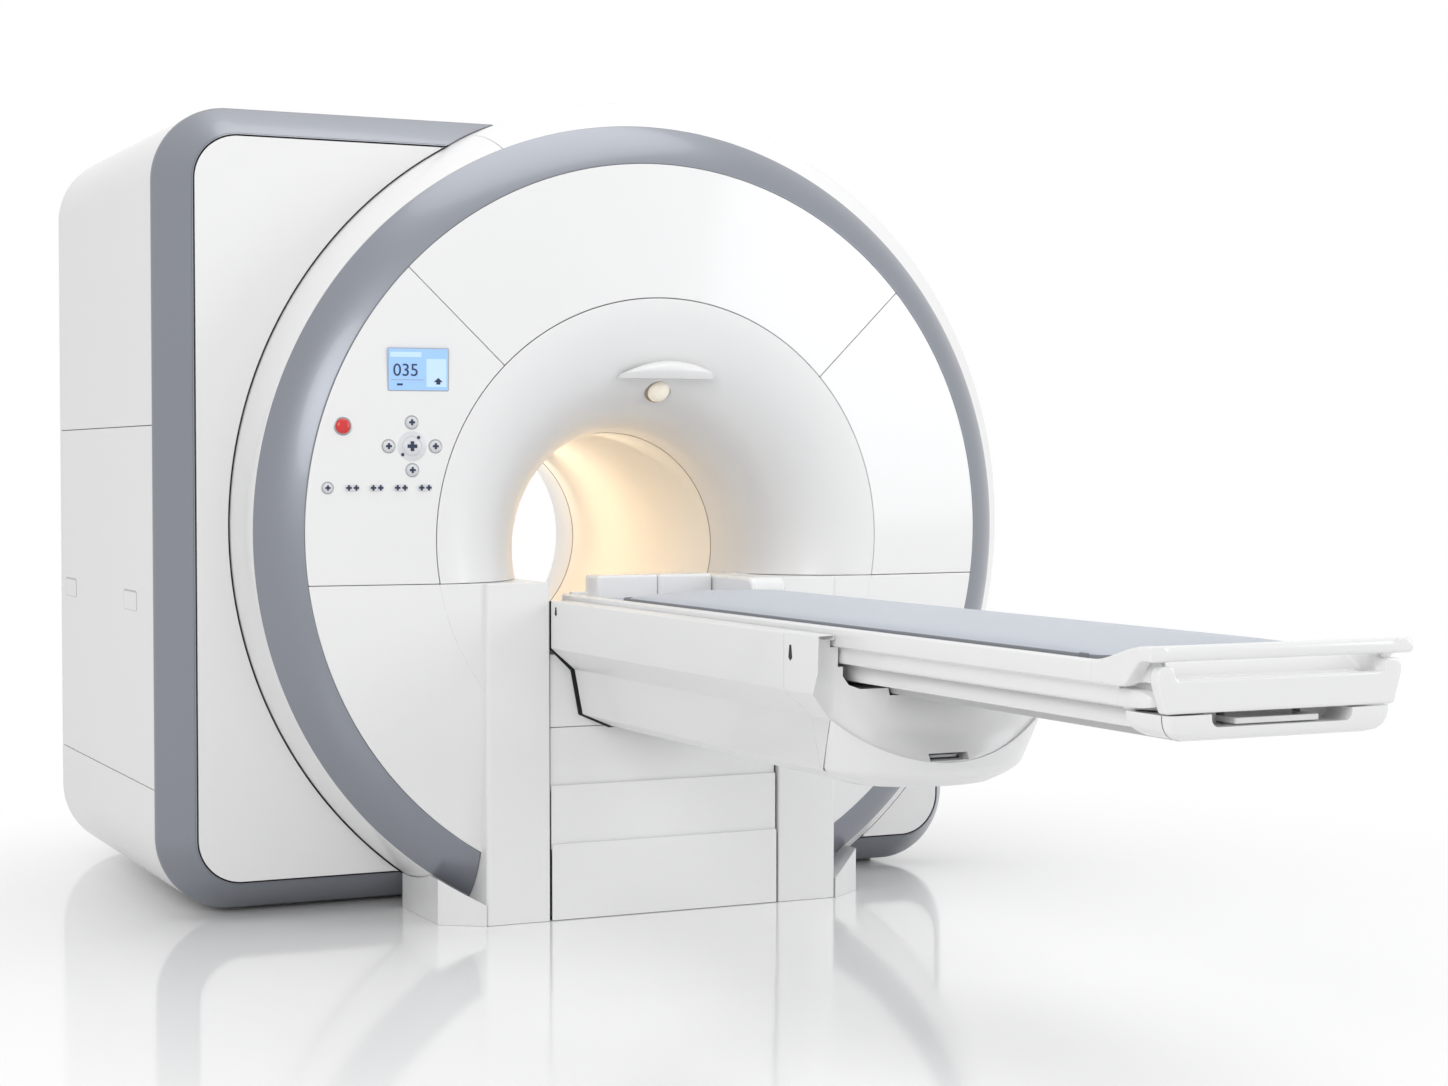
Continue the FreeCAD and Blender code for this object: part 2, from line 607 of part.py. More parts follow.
def lift_mechanism():
    """Two guide columns on a floor plate, and two telescopic barrels that push the table up."""
    base = new_body("lift_base")
    plate = rectangle("-kick_half + 2", "kick_half - 2", "-5", "pillar_back - 5")
    pad(base, "plan", plate, "0", "12")
    places = [f"{side} * column_offset" for side in (-1, 1)]
    pad(base, "plan", circles(*[(x, "column_depth", "column_radius") for x in places]), "10", "710")
    pad(base, "plan", circles(*[(x, "rod_depth", "barrel_radius") for x in places]), "10", "barrel_top")
    pocket(base, "plan", circles(*[(x, "rod_depth", "column_radius + running_fit") for x in places]),
           "22", "barrel_top + 1")
    keep("lift_base", base)


def kick_panels():
    low = prism("kick_panel_lower", "front", rectangle("-kick_half", "kick_half", "0", "kick_low - gap"),
                "-pillar_front", "-pillar_front + sheet_metal")
    keep("kick_panel_lower", low)
    depth = "-pillar_front + panel_pitch"
    middle = prism("kick_panel_middle", "front",
                   rectangle("-kick_half", "kick_half", "kick_low - overlap", "kick_middle - gap"),
                   depth, f"{depth} + sheet_metal")
    keep("kick_panel_middle", middle)


# ---------------------------------------------------------------- table: lifting part

def aprons():
    depth = "-pillar_front + 2 * panel_pitch"
    lower = rectangle("-kick_half", "kick_half", "kick_middle - overlap", "kick_top - gap")
    keep("apron_lower", prism("apron_lower", "front", lower, depth, f"{depth} + sheet_metal"))
    notch_half = "frame_half + 3"
    notch_low = "frame_low - 3"
    upper = outline([("-kick_half", "kick_top"), ("kick_half", "kick_top"), ("kick_half", "apron_top"),
                     (notch_half, "apron_top"), (notch_half, notch_low), (f"-({notch_half})", notch_low),
                     (f"-({notch_half})", "apron_top"), ("-kick_half", "apron_top")])
    keep("apron_upper", prism("apron_upper", "front", upper, depth, f"{depth} + sheet_metal"))


def beam_covers():
    """Each half of the beam's skin: upright flank, chamfered waist, lower flank and keel."""
    wall = "beam_wall"
    section = [("beam_half", "beam_top"), ("beam_half", "shoulder"), ("waist_half", "waist"),
               ("beam_foot_half", "beam_foot"), ("beam_base_half", "beam_base"), ("gap / 2", "beam_base"),
               ("gap / 2", f"beam_base + {wall}"), ("beam_base_half - 1.4", f"beam_base + {wall}"),
               (f"beam_foot_half - {wall} + 0.6", "beam_foot + 4"),
               (f"waist_half - {wall} + 0.8", "waist + 3"),
               (f"beam_half - {wall}", "shoulder + 2.7"), (f"beam_half - {wall}", f"beam_top - {wall}"),
               ("lip_half", f"beam_top - {wall}"), ("lip_half", "beam_top")]
    for side, name in ((-1, "left"), (1, "right")):
        keep(f"beam_cover_{name}", prism(f"beam_cover_{name}", "front", outline(mirrored(section, side)),
                                         "-beam_seam", "-beam_start"))


def beam_end_form(label, growth):
    """The beam's closed end, grown all round by a clearance, with its stepped and slanted tip."""
    body = new_body(label)
    half = [("beam_half", f"beam_top + {growth}"), ("beam_half", "shoulder"), ("waist_half", "waist"),
            ("beam_foot_half", "beam_foot"), ("beam_base_half", "beam_base")]
    points = [(f"{x} + {growth}", z) for x, z in half[:4]]
    points.append((half[4][0], f"beam_base - {growth}"))
    other = [(f"-({x})", z) for x, z in reversed(points)]
    pad(body, "front", outline(points + other), f"-beam_end - {growth}", "-beam_seam - gap")
    shift = f"- {growth}"
    pocket(body, "side", outline([
        ("-beam_end - 60", "900"), (f"-beam_end {shift}", "900"), (f"-beam_end {shift}", "715"),
        (f"-beam_end + 22 {shift}", "shoulder"), (f"-beam_end + 67 {shift}", "waist"),
        (f"-beam_end + 138 {shift}", "beam_foot"), (f"-beam_end + 138 {shift}", "400"),
        ("-beam_end - 60", "400")]), "-400", "400")
    return body


def trough(body, start, end):
    """The open channel, narrower in two steps, along which the tabletop and its foot box pass."""
    half = [("lip_half", "900"), ("lip_half", "trough_shelf"), ("236", "trough_shelf"),
            ("236", "trough_step"), ("130", "trough_step"), ("130", "trough_floor")]
    other = [(f"-({x})", z) for x, z in reversed(half)]
    pocket(body, "front", outline(half + other), start, end)


def beam_end():
    body = beam_end_form("beam_end_cover", "0")
    trough(body, "-beam_end - 20", "-beam_seam")
    keep("beam_end_cover", body)


def cap(half, turn, reach):
    """A plan with straight sides that closes in half an ellipse towards the foot of the table."""
    def draw(sketch):
        wide = measure(half)
        centre = -measure(turn)
        start = -measure("beam_seam + 4")
        arc = Part.ArcOfEllipse(Part.Ellipse(FreeCAD.Vector(0, centre, 0), wide, measure(reach)),
                                math.pi, 2 * math.pi)
        number = sketch.addGeometry(arc)
        first = sketch.Geometry[number].StartPoint
        last = sketch.Geometry[number].EndPoint
        corners = (last, FreeCAD.Vector(last.x, start, 0), FreeCAD.Vector(first.x, start, 0), first)
        for a, b in zip(corners, corners[1:]):
            sketch.addGeometry(Part.LineSegment(a, b))
    return draw


def belly():
    """The shallow cap below the beam's tip: a rounded bowl, open above a curved step."""
    body = new_body("belly_form")
    loft(body, "plan", [("beam_base + 1", cap("150", "1277", "105")), ("490", cap("195", "1277", "122")),
                        ("beam_foot", cap("226", "1278", "127")), ("560", cap("238", "1312", "90")),
                        ("waist", cap("waist_half - 1", "1347", "45"))], ruled=True)
    step = outline([("-waist_half", "waist", "0", "belly_dip"), ("waist_half", "waist"),
                    ("waist_half", "trough_floor + 40"), ("-waist_half", "trough_floor + 40")])
    pocket(body, "front", step, "-1500", "-belly_front")
    pad(body, "front", rectangle("-236", "236", "waist - 18", "trough_floor"),
        "-belly_front", "-belly_front + 74")
    pocket(body, "front", rectangle("-45", "45", "latch_height - 8", "latch_height + 8"),
           "-1450", "-belly_front + 20")
    keep("belly_pan", join("Cut", "belly_pan", body, [beam_end_form("belly_clearance", "gap")]))


def slide_drive():
    """The motor that moves the tabletop: a housing and a disc, hung between the frame's sides."""
    drive = new_body("slide_drive")
    pad(drive, "plan", rectangle("-80", "80", "-drive_depth - 60", "-drive_depth + 60"), "490", "628")
    pad(drive, "side", circles(("-drive_depth", "560", "48")), "80", "114")
    bracket = "frame_half - 40.5"
    pad(drive, "plan", rectangle(f"-({bracket})", bracket, "-drive_depth - 20", "-drive_depth + 20"),
        "600", "610")
    keep("slide_drive", drive)


def belly_latch():
    """The small lever in the pan's recess, hinged along its inner edge."""
    lever = new_body("belly_latch")
    pad(lever, "side", circles(("-latch_depth", "latch_height", "3.5")), "-43", "43")
    pad(lever, "side", rectangle("-latch_depth - 16", "-latch_depth",
                                 "latch_height - 2.5", "latch_height + 2.5"),
        "-30", "30")
    keep("belly_latch", lever)


def carriage():
    frame = new_body("carriage_frame")
    pad(frame, "plan", rectangle("-frame_half", "frame_half", "-beam_seam + 6", "95"),
        "frame_low", "frame_high")
    for start, end in (("-beam_seam + 46", "-700"), ("-660", "54")):
        pocket(frame, "plan", rectangle("-frame_half + 40", "frame_half - 40", start, end),
               "frame_low - 1", "frame_high + 1")
    for side in (-1, 1):
        ends = sorted([f"{side} * 60", f"{side} * 110"], key=measure)
        rail = rectangle(ends[0], ends[1], "frame_high - 5", "tray_keel - 0.4")
        pad(frame, "front", rail, "-beam_seam + 6", "90")
    pad(frame, "plan", rectangle("-112", "112", "-690", "-670"), "frame_high - 5", "tray_keel - 4")
    keep("carriage_frame", frame)
    head = new_body("lift_carriage")
    pad(head, "plan", rectangle("-300", "300", "95", "165"), "560", "640")
    for side in (-1, 1):
        ends = sorted([f"{side} * 215", f"{side} * 300"], key=measure)
        pad(head, "plan", rectangle(ends[0], ends[1], "95", "265"), "640", "700")
        pad(head, "plan", circles((f"{side} * column_offset", "rod_depth", "column_radius")),
            "barrel_top - 4", "642")
    pocket(head, "plan", circles(("-column_offset", "column_depth", "column_radius + running_fit"),
                                 ("column_offset", "column_depth", "column_radius + running_fit")),
           "550", "710")
    keep("lift_carriage", head)


# ---------------------------------------------------------------- table: sliding top

def tabletop():
    tray = new_body("tray")
    half = [("tray_half", "tray_top - 4"), ("tray_half", "764"), ("240", "758"), ("238", "730"),
            ("208", "724"), ("200", "690.2"), ("125", "690.2"), ("118", "tray_keel")]
    right = [("mattress_half + 3", "tray_bed"), ("mattress_half + 7", "tray_top")] + half
    left = [(f"-({x})", z) for x, z in reversed(right)]
    pad(tray, "front", outline(right + left), "-tray_foot", "tray_head")
    round_edges(tray, "50", lambda edge: along(edge, 2)
                and abs(edge.CenterOfMass.y - measure("tray_head")) < 1
                and abs(edge.CenterOfMass.x) > measure("tray_half") - 1)
    keep("tray", tray)
    mattress = prism("mattress_head", "plan", outline([
        ("-mattress_half", "-mattress_step"), ("mattress_half", "-mattress_step"), ("mattress_half", "-254"),
        ("119", "-254"), ("119", "-34"), ("-mattress_half", "-34")]), "tray_bed + 0.3", "mattress_thin")
    main = prism("mattress_main", "side", outline([
        ("-tray_foot + 60", "tray_bed + 0.3"), ("-tray_foot + 60", "mattress_top"),
        ("-mattress_step - 12", "mattress_top"), ("-mattress_step", "mattress_thin"),
        ("-mattress_step", "tray_bed + 0.3")]), "-mattress_half", "mattress_half")
    round_edges(main, "60", lambda edge: along(edge, 2) and edge.CenterOfMass.y < -measure("tray_foot") + 70)
    keep("mattress", join("Fuse", "mattress", main, [mattress]))
    head = prism("head_block", "plan", rectangle("-195", "118", "-30", "52"), "tray_bed + 0.3", "848")
    round_edges(head, "14", lambda edge: not along(edge, 2) and edge.CenterOfMass.z > 847)
    keep("head_block", head)
    plug = prism("coil_socket", "side", outline([
        ("-250", "tray_bed + 0.3"), ("-250", "800", "-236", "832"), ("-202", "846"), ("52", "846"),
        ("52", "tray_bed + 0.3")]), "121", "215")
    round_edges(plug, "30", lambda edge: along(edge, 1) and edge.CenterOfMass.z > 845
                and edge.CenterOfMass.x > 214)
    keep("coil_socket", plug)


def foot_end():
    """The tabletop's end: a block with a necked front, rims that climb into a grab bar, and a loop."""
    body = new_body("foot_handle")
    back = "-tray_foot - 0.5"
    side = [("foot_half", back), ("foot_half", "-loop_back - 8"), ("foot_half - 24", "-loop_back - 22"),
            ("foot_half - 24", "-loop_back - 38"), ("foot_half - 14", "-loop_back - 48"),
            ("foot_half - 14", "-loop_back - 58"), ("foot_half - 26", "-foot_end")]
    other = [(f"-({x})", y) for x, y in reversed(side)]
    pad(body, "plan", outline(side + other), "box_seam", "box_top")
    pad(body, "plan", rectangle("-foot_half", "foot_half", "-foot_end - 2", back), "box_top", "handle_high")
    ends = [("foot_half + 8", "-foot_end + 26"), ("foot_half + 8", "-foot_end + 6"),
            ("foot_half", "-foot_end - 2")]
    other = [(f"-({x})", y) for x, y in reversed(ends)]
    pad(body, "plan", outline(ends + other), "handle_low - 11", "handle_high")
    pocket(body, "plan", rectangle("-grip_half", "grip_half", "-foot_end + 23", "-loop_back"),
           "box_top", "handle_high + 5")
    pocket(body, "front", rectangle("-grip_half", "grip_half", "box_top", "handle_low"),
           "-foot_end - 10", "-loop_back")
    pocket(body, "plan", rectangle("-foot_half + 26", "foot_half - 26", "-loop_back", f"{back} + 5"),
           "tray_top", "handle_high + 5")
    rise = outline([("-loop_back - 20", "handle_high"), (f"{back} + 5", "tray_top + 8"),
                    (f"{back} + 5", "handle_high + 5"), ("-loop_back - 20", "handle_high + 5")])
    pocket(body, "side", rise, "-foot_half - 20", "foot_half + 20")
    keep("foot_handle", body)
    foot_box(back)


def foot_box(back):
    """The box under the handle, rounded below and at the sides, with a slot for the squeeze bar."""
    half = [("228", "box_seam - gap"), ("228", "705"), ("214", "box_base + 8"), ("188", "box_base")]
    other = [(f"-({x})", z) for x, z in reversed(half)]
    front = prism("box_front", "front", outline(half + other), "-foot_end", back)
    corners = prism("box_plan", "plan", rectangle("-228", "228", "-foot_end", back), "box_base", "box_seam")
    front_edge = lambda edge: edge.CenterOfMass.y < -measure("foot_end") + 1
    round_edges(corners, "40", lambda edge: along(edge, 2) and front_edge(edge))
    shape = join("Common", "box_shape", front, [corners])
    ways = [block("box_slot", "-slot_half", "slot_half", "-foot_end - 5", "-loop_back - 5",
                  "box_base + 21", "box_seam + 5")]
    for side in (-1, 1):
        ends = sorted([f"{side} * 69", f"{side} * 86"], key=measure)
        ways.append(block(f"box_notch_{side + 1}", ends[0], ends[1], "-loop_back - 10", "-loop_back + 30",
                          "box_base + 21", "box_seam + 5"))
    keep("foot_box", join("Cut", "foot_box", shape, ways))
    bar = prism("release_bar", "plan", outline([
        ("-85", "-foot_end + 14"), ("85", "-foot_end + 14"), ("85", "-foot_end + 97"),
        ("70", "-foot_end + 97"), ("70", "-foot_end + 28"), ("-70", "-foot_end + 28"),
        ("-70", "-foot_end + 97"), ("-85", "-foot_end + 97")]), "box_base + 23", "box_base + 33")
    keep("release_bar", bar)


# ---------------------------------------------------------------- controls on the face

def face_depth(across, height):
    """How far back the face lies at a place on it."""
    reach = f"hypot({across}; {height} - (seam_height + ring_height) / 2)"
    return f"face_set_back * ({reach} - seam_radius) / (face_radius - seam_radius)"


def key_places():
    """Name, place across, height and whether the key is round, for every key of the panel."""
    pad_x = "-pad_across"
    keys = [
        ("key_up", pad_x, "pad_height + pad_reach", "key_radius"),
        ("key_down", pad_x, "pad_height - pad_reach", "key_radius"),
        ("key_left", "-pad_across - pad_reach", "pad_height", "key_radius"),
        ("key_right", "-pad_across + pad_reach", "pad_height", "key_radius"),
        ("key_hub", pad_x, "pad_height", "hub_radius"),
        ("stop_button", "-stop_across", "stop_height", "stop_radius"),
        ("row_key_1", "-row_across", "row_height", "key_radius - 2"),
    ]
    for number in range(2, 6):
        keys.append((f"row_key_{number}", f"-row_across + {number - 1} * row_pitch", "row_height", None))
    return keys


def key_outline(across, height, radius, grow):
    if radius:
        return circles((across, height, f"{radius} + {grow}"))
    return rectangle(f"{across} - key_wide / 2 - {grow}", f"{across} + key_wide / 2 + {grow}",
                     f"{height} - key_tall / 2 - {grow}", f"{height} + key_tall / 2 + {grow}")


def key_holes():
    holes = []
    for name, across, height, radius in key_places():
        holes.append(prism(name + "_hole", "front", key_outline(across, height, radius, "0.6"), "-20", "60"))
    holes.append(prism("screen_hole", "front",
                       rectangle("-screen_left - 1", "-screen_right + 1",
                                 "screen_low - 1", "screen_high + 1"),
                       "-20", "60"))
    return holes


def controls():
    for name, across, height, radius in key_places():
        depth = face_depth(across, height)
        key = prism(name, "front", key_outline(across, height, radius, "0"),
                    f"{depth} - key_proud", f"{depth} + 20")
        round_edges(key, "1.5", lambda edge: edge.BoundBox.YMax < measure(f"{depth} - key_proud") + 0.1)
        keep(name, key)
    middle = "(screen_low + screen_high) / 2"
    near = f"{face_depth('-screen_right', middle)} - 1"
    far = f"{face_depth('-screen_left', middle)} - 1"
    screen = prism("display_screen", "plan", outline([
        ("-screen_left", far), ("-screen_right", near), ("-screen_right", f"{near} + 30"),
        ("-screen_left", f"{far} + 30")]), "screen_low", "screen_high")
    keep("display_screen", screen)


# ---------------------------------------------------------------- build, check and write

bore_covers()
magnet()
face_panels()
ring()
flank()
flank_clearance = barrel("flank_clearance", "gap", nose=True)
housing(flank_clearance)
front_trim()
plinths(flank_clearance)
levelling_feet()
lift_mechanism()
kick_panels()
aprons()
beam_covers()
beam_end()
belly()
slide_drive()
belly_latch()
carriage()
tabletop()
foot_end()
controls()
doc.recompute()

faults = [item.Label for item in doc.Objects if "Invalid" in item.State or "Error" in item.State]
for piece in pieces:
    if piece.Shape.isNull() or not piece.Shape.isValid() or not piece.Shape.Solids:
        faults.append(piece.Label)
if faults:
    raise RuntimeError("faulty objects: " + ", ".join(faults))

os.makedirs("parts", exist_ok=True)
for piece in pieces:
    piece.Shape.exportStep(f"parts/{piece.Label}.step")
print(len(pieces), "pieces written")
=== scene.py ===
import math

import bmesh
import bpy
import numpy as np
from mathutils import Matrix


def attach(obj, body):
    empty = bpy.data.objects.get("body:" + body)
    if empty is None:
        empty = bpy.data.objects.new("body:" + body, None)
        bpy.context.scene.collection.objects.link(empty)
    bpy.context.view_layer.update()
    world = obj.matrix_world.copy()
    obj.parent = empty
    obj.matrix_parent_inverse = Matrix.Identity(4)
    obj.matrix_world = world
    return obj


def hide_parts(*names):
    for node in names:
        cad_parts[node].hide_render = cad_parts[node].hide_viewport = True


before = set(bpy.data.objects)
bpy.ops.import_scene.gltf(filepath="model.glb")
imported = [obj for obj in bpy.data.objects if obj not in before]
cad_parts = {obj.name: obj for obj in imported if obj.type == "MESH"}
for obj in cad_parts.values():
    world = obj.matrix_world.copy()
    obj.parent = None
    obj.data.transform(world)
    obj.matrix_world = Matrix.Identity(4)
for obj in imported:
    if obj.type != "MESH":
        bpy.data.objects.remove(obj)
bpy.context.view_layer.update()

bl_info = {
    "name": "Bore scanner looks",
    "version": (1, 0, 0),
    "blender": (4, 5, 0),
    "location": "3D View > Sidebar > Scanner",
    "description": "Dresses the packed scanner with finished covers, padding, controls and a studio",
    "category": "Object",
}

# Places that the pieces share, in metres. Y runs into the bore and Z is up.
BORE = 0.300                            # radius of the bore
AXIS = 0.905                            # height of its axis
TUNNEL = (0.364, 1.342)                 # depths of the liner's ends
SEAM = 0.600                            # radius of the seam round the mouth's cover
SEAM_Z = 0.937                          # height of that seam's centre
SHELF = 0.834                           # level where the mouth's cover is cut off
LIP = 0.074                             # how far it comes out of the bore below that level
RING_Z = 0.956                          # height of the ring's centre
FACE_EDGE = 0.916                       # radius of the face, from the ring's centre
FACE_FALL = 0.028                       # how far the face falls back from the seam to that edge
PILLAR_IN, PILLAR_OUT = 0.314, 0.478    # sides of the pillars, from the middle
INTO = np.array([0.0, 1.0, 0.0])        # direction into the bore
GAP = 0.0015                            # seam between covers
SHADOW = 0.004                          # wider gap beside the flank
HOUSING = (-1.177, 1.066, 0.012, 2.005)  # left, right, low and high
CORNER = 0.190                          # radius of the housing's three tight corners
CROWN = 0.985                           # radius of its wide corner
SPLITS = (0.315, 1.218)                 # levels of the seams in its sides
BAND = (0.340, 0.450, 0.077)            # front, back and width of its bevelled band
LEFT_ROUND, RIGHT_ROUND = 0.35, 0.80    # shares of its outline at the middle of the band's two stretches
REAR = 1.750
REAR_ROUND = 0.150                      # rounding round the rear
GRIPS = (0.715, 1.472)                  # depths of the finger grips

# The flank's circles: radius, centre across and centre height at three depths, and at its tail.
FLANK_STATIONS = np.array([0.1135, 0.340, 0.450])
FLANK_SIZES = np.array([[1.020, 0.0, 0.956], [1.096, 0.081, 0.966], [1.112, 0.125, 0.968]])
TAIL = (0.620, np.array([1.030, 0.030, 0.966]))

# The table's beam: folds of its side, and the depth of its tip and the cap's sizes at given levels.
BEAM_SIDE = [(0.312, 0.788), (0.312, 0.672), (0.250, 0.618), (0.229, 0.507), (0.152, 0.474)]
BEAM_TIP = ([0.474, 0.507, 0.618, 0.672, 0.715, 0.788], [-1.278, -1.278, -1.349, -1.394, -1.416, -1.416])
BEAM_END = -1.2697                      # where the tip meets the beam's skins
STEP_LOW, STEP_RADIUS, STEP_HALF = 0.524, 0.3794, 0.2495    # arc of the step over the cap
CAP_LOW, CAP_TOP = 0.475, 0.618
CAP_LEVELS = [CAP_LOW, 0.490, 0.507, 0.560, CAP_TOP]
CAP_HALF = [0.150, 0.195, 0.226, 0.238, 0.249]
CAP_TURN = [1.277, 1.277, 1.278, 1.312, 1.347]
CAP_REACH = [0.105, 0.122, 0.127, 0.090, 0.045]
RECESS = (0.045, 0.5275, 0.5420, -1.3460)   # the latch's recess: half width, low, high and depth

# Foot end: levels and depths that the tray, the handle and the box share.
TRAY_FOOT = -2.3305
TRAY_TOP = 0.7775

# Round keys, the stop button and the row of oblong keys: across, height and radius.
KEYS = {
    "key_up": (-0.658, 1.222, 0.013), "key_down": (-0.658, 1.108, 0.013),
    "key_left": (-0.715, 1.165, 0.013), "key_right": (-0.601, 1.165, 0.013),
    "key_hub": (-0.658, 1.165, 0.021), "row_key_1": (-0.862, 1.066, 0.011),
}
STOP = (-0.824, 1.212, 0.018)
ROW = {f"row_key_{n}": -0.862 + (n - 1) * 0.0585 for n in range(2, 6)}
ROW_Z = 1.066
SCREEN = (-0.713, -0.568, 1.299, 1.398)  # left, right, low and high


# ------------------------------------------------------------------ settings

def length(name, description, default):
    """A size in the panel, in metres."""
    return bpy.props.FloatProperty(name=name, description=description, default=default,
                                   min=0.0, unit="LENGTH", subtype="DISTANCE")


def colour(name, description, default):
    """A colour in the panel, as plain light values."""
    return bpy.props.FloatVectorProperty(name=name, description=description, default=default,
                                         size=3, min=0.0, max=1.0, subtype="COLOR")


class ScannerSizes(bpy.types.PropertyGroup):
    """Sizes that a user would change without touching the construction."""
    cover_edge: length("Cover edge", "Rounding along the edges of the moulded covers", 0.0022)
    beam_edge: length("Beam edge", "Rounding along the folds of the table's beam", 0.0050)
    cover_wall: length("Cover wall", "Thickness of the moulded covers", 0.0075)
    pad_crown: length("Pad crown", "How far the mattress rises along its middle", 0.016)
    pad_voxel: length("Pad mesh", "Mesh size of the simulated mattress", 0.0075)


class ScannerColours(bpy.types.PropertyGroup):
    """Colours of the finishes."""
    shell: colour("Shell", "Gloss white of the covers", (0.80, 0.80, 0.80))
    slate: colour("Slate", "Satin grey-blue of the ring and the band", (0.235, 0.25, 0.285))
    liner: colour("Liner", "Cream white inside the bore", (0.84, 0.81, 0.75))
    pad: colour("Pad", "Grey-blue cover of the mattress", (0.50, 0.54, 0.60))
    stop: colour("Stop button", "Red of the stop button", (0.24, 0.002, 0.002))
    screen: colour("Screen", "Blue of the lit display", (0.27, 0.46, 0.80))
    ink: colour("Ink", "Dark marks on keys and display", (0.020, 0.030, 0.070))


# ------------------------------------------------------------------ materials

def wire(tree, node, inputs):
    """Set each input of the node to its value, or link it where the value is a socket of another node."""
    for key, value in inputs.items():
        if isinstance(value, bpy.types.NodeSocket):
            tree.links.new(value, node.inputs[key])
        else:
            node.inputs[key].default_value = value
    return node


def new_node(tree, kind, inputs=None, **settings):
    """A new shader node of the kind, with its settings and its inputs."""
    node = tree.nodes.new("ShaderNode" + kind)
    for name, value in settings.items():
        setattr(node, name, value)
    return wire(tree, node, inputs or {})


def calculated(tree, operation, first, second):
    """The result of a Math node on two sockets or numbers."""
    return new_node(tree, "Math", {0: first, 1: second}, operation=operation).outputs[0]


def seen_plainly(tree):
    """One for a ray from the camera, a gloss or a glass, else nought: the largest of the three flags."""
    kind = new_node(tree, "LightPath").outputs
    either = calculated(tree, "MAXIMUM", kind["Is Camera Ray"], kind["Is Glossy Ray"])
    return calculated(tree, "MAXIMUM", either, kind["Is Transmission Ray"])


def finish(name, base, rough=0.35, coat=0.0, metal=0.0, grain=0.0, scale=60.0, vary=0.03,
           sheen=0.0, glow=0.0, weave=0.0):
    """A surface finish in object space. The colour lies between base times one minus vary and one plus vary,
    mixed by a cloudy noise that also moves the gloss; a finer noise, with crossed waves added for a weave,
    makes the bump."""
    if name in bpy.data.materials:
        return bpy.data.materials[name]
    material = bpy.data.materials.new(name)
    material.use_nodes = True
    tree = material.node_tree
    place = new_node(tree, "TexCoord").outputs["Object"]
    cloud = new_node(tree, "TexNoise", {"Vector": place, "Scale": 2.3, "Detail": 4.0}).outputs["Fac"]
    dark = (*[c * (1 - vary) for c in base], 1)
    pale = (*[min(1, c * (1 + vary)) for c in base], 1)
    tint = new_node(tree, "Mix", {0: cloud, 6: dark, 7: pale}, data_type="RGBA")
    polish = new_node(tree, "MapRange", {"Value": cloud, "To Min": max(0.02, rough - 0.04),
                                         "To Max": min(1.0, rough + 0.05)})
    height = new_node(tree, "TexNoise", {"Vector": place, "Scale": scale, "Detail": 3.0}).outputs["Fac"]
    if weave:
        threads = [new_node(tree, "TexWave", {"Vector": place, "Scale": weave, "Distortion": 0.6},
                            bands_direction=direction).outputs["Fac"] for direction in ("X", "Y")]
        height = calculated(tree, "ADD", calculated(tree, "MULTIPLY", *threads), height)
    bump = new_node(tree, "Bump", {"Height": height, "Strength": grain, "Distance": 0.001})
    shader = wire(tree, tree.nodes["Principled BSDF"], {
        "Base Color": tint.outputs[2], "Roughness": polish.outputs["Result"], "Normal": bump.outputs["Normal"],
        "Metallic": metal, "Coat Weight": coat, "Coat Roughness": 0.08, "Sheen Weight": sheen})
    if glow:
        wire(tree, shader, {"Emission Color": (*base, 1), "Emission Strength": glow})
    return material


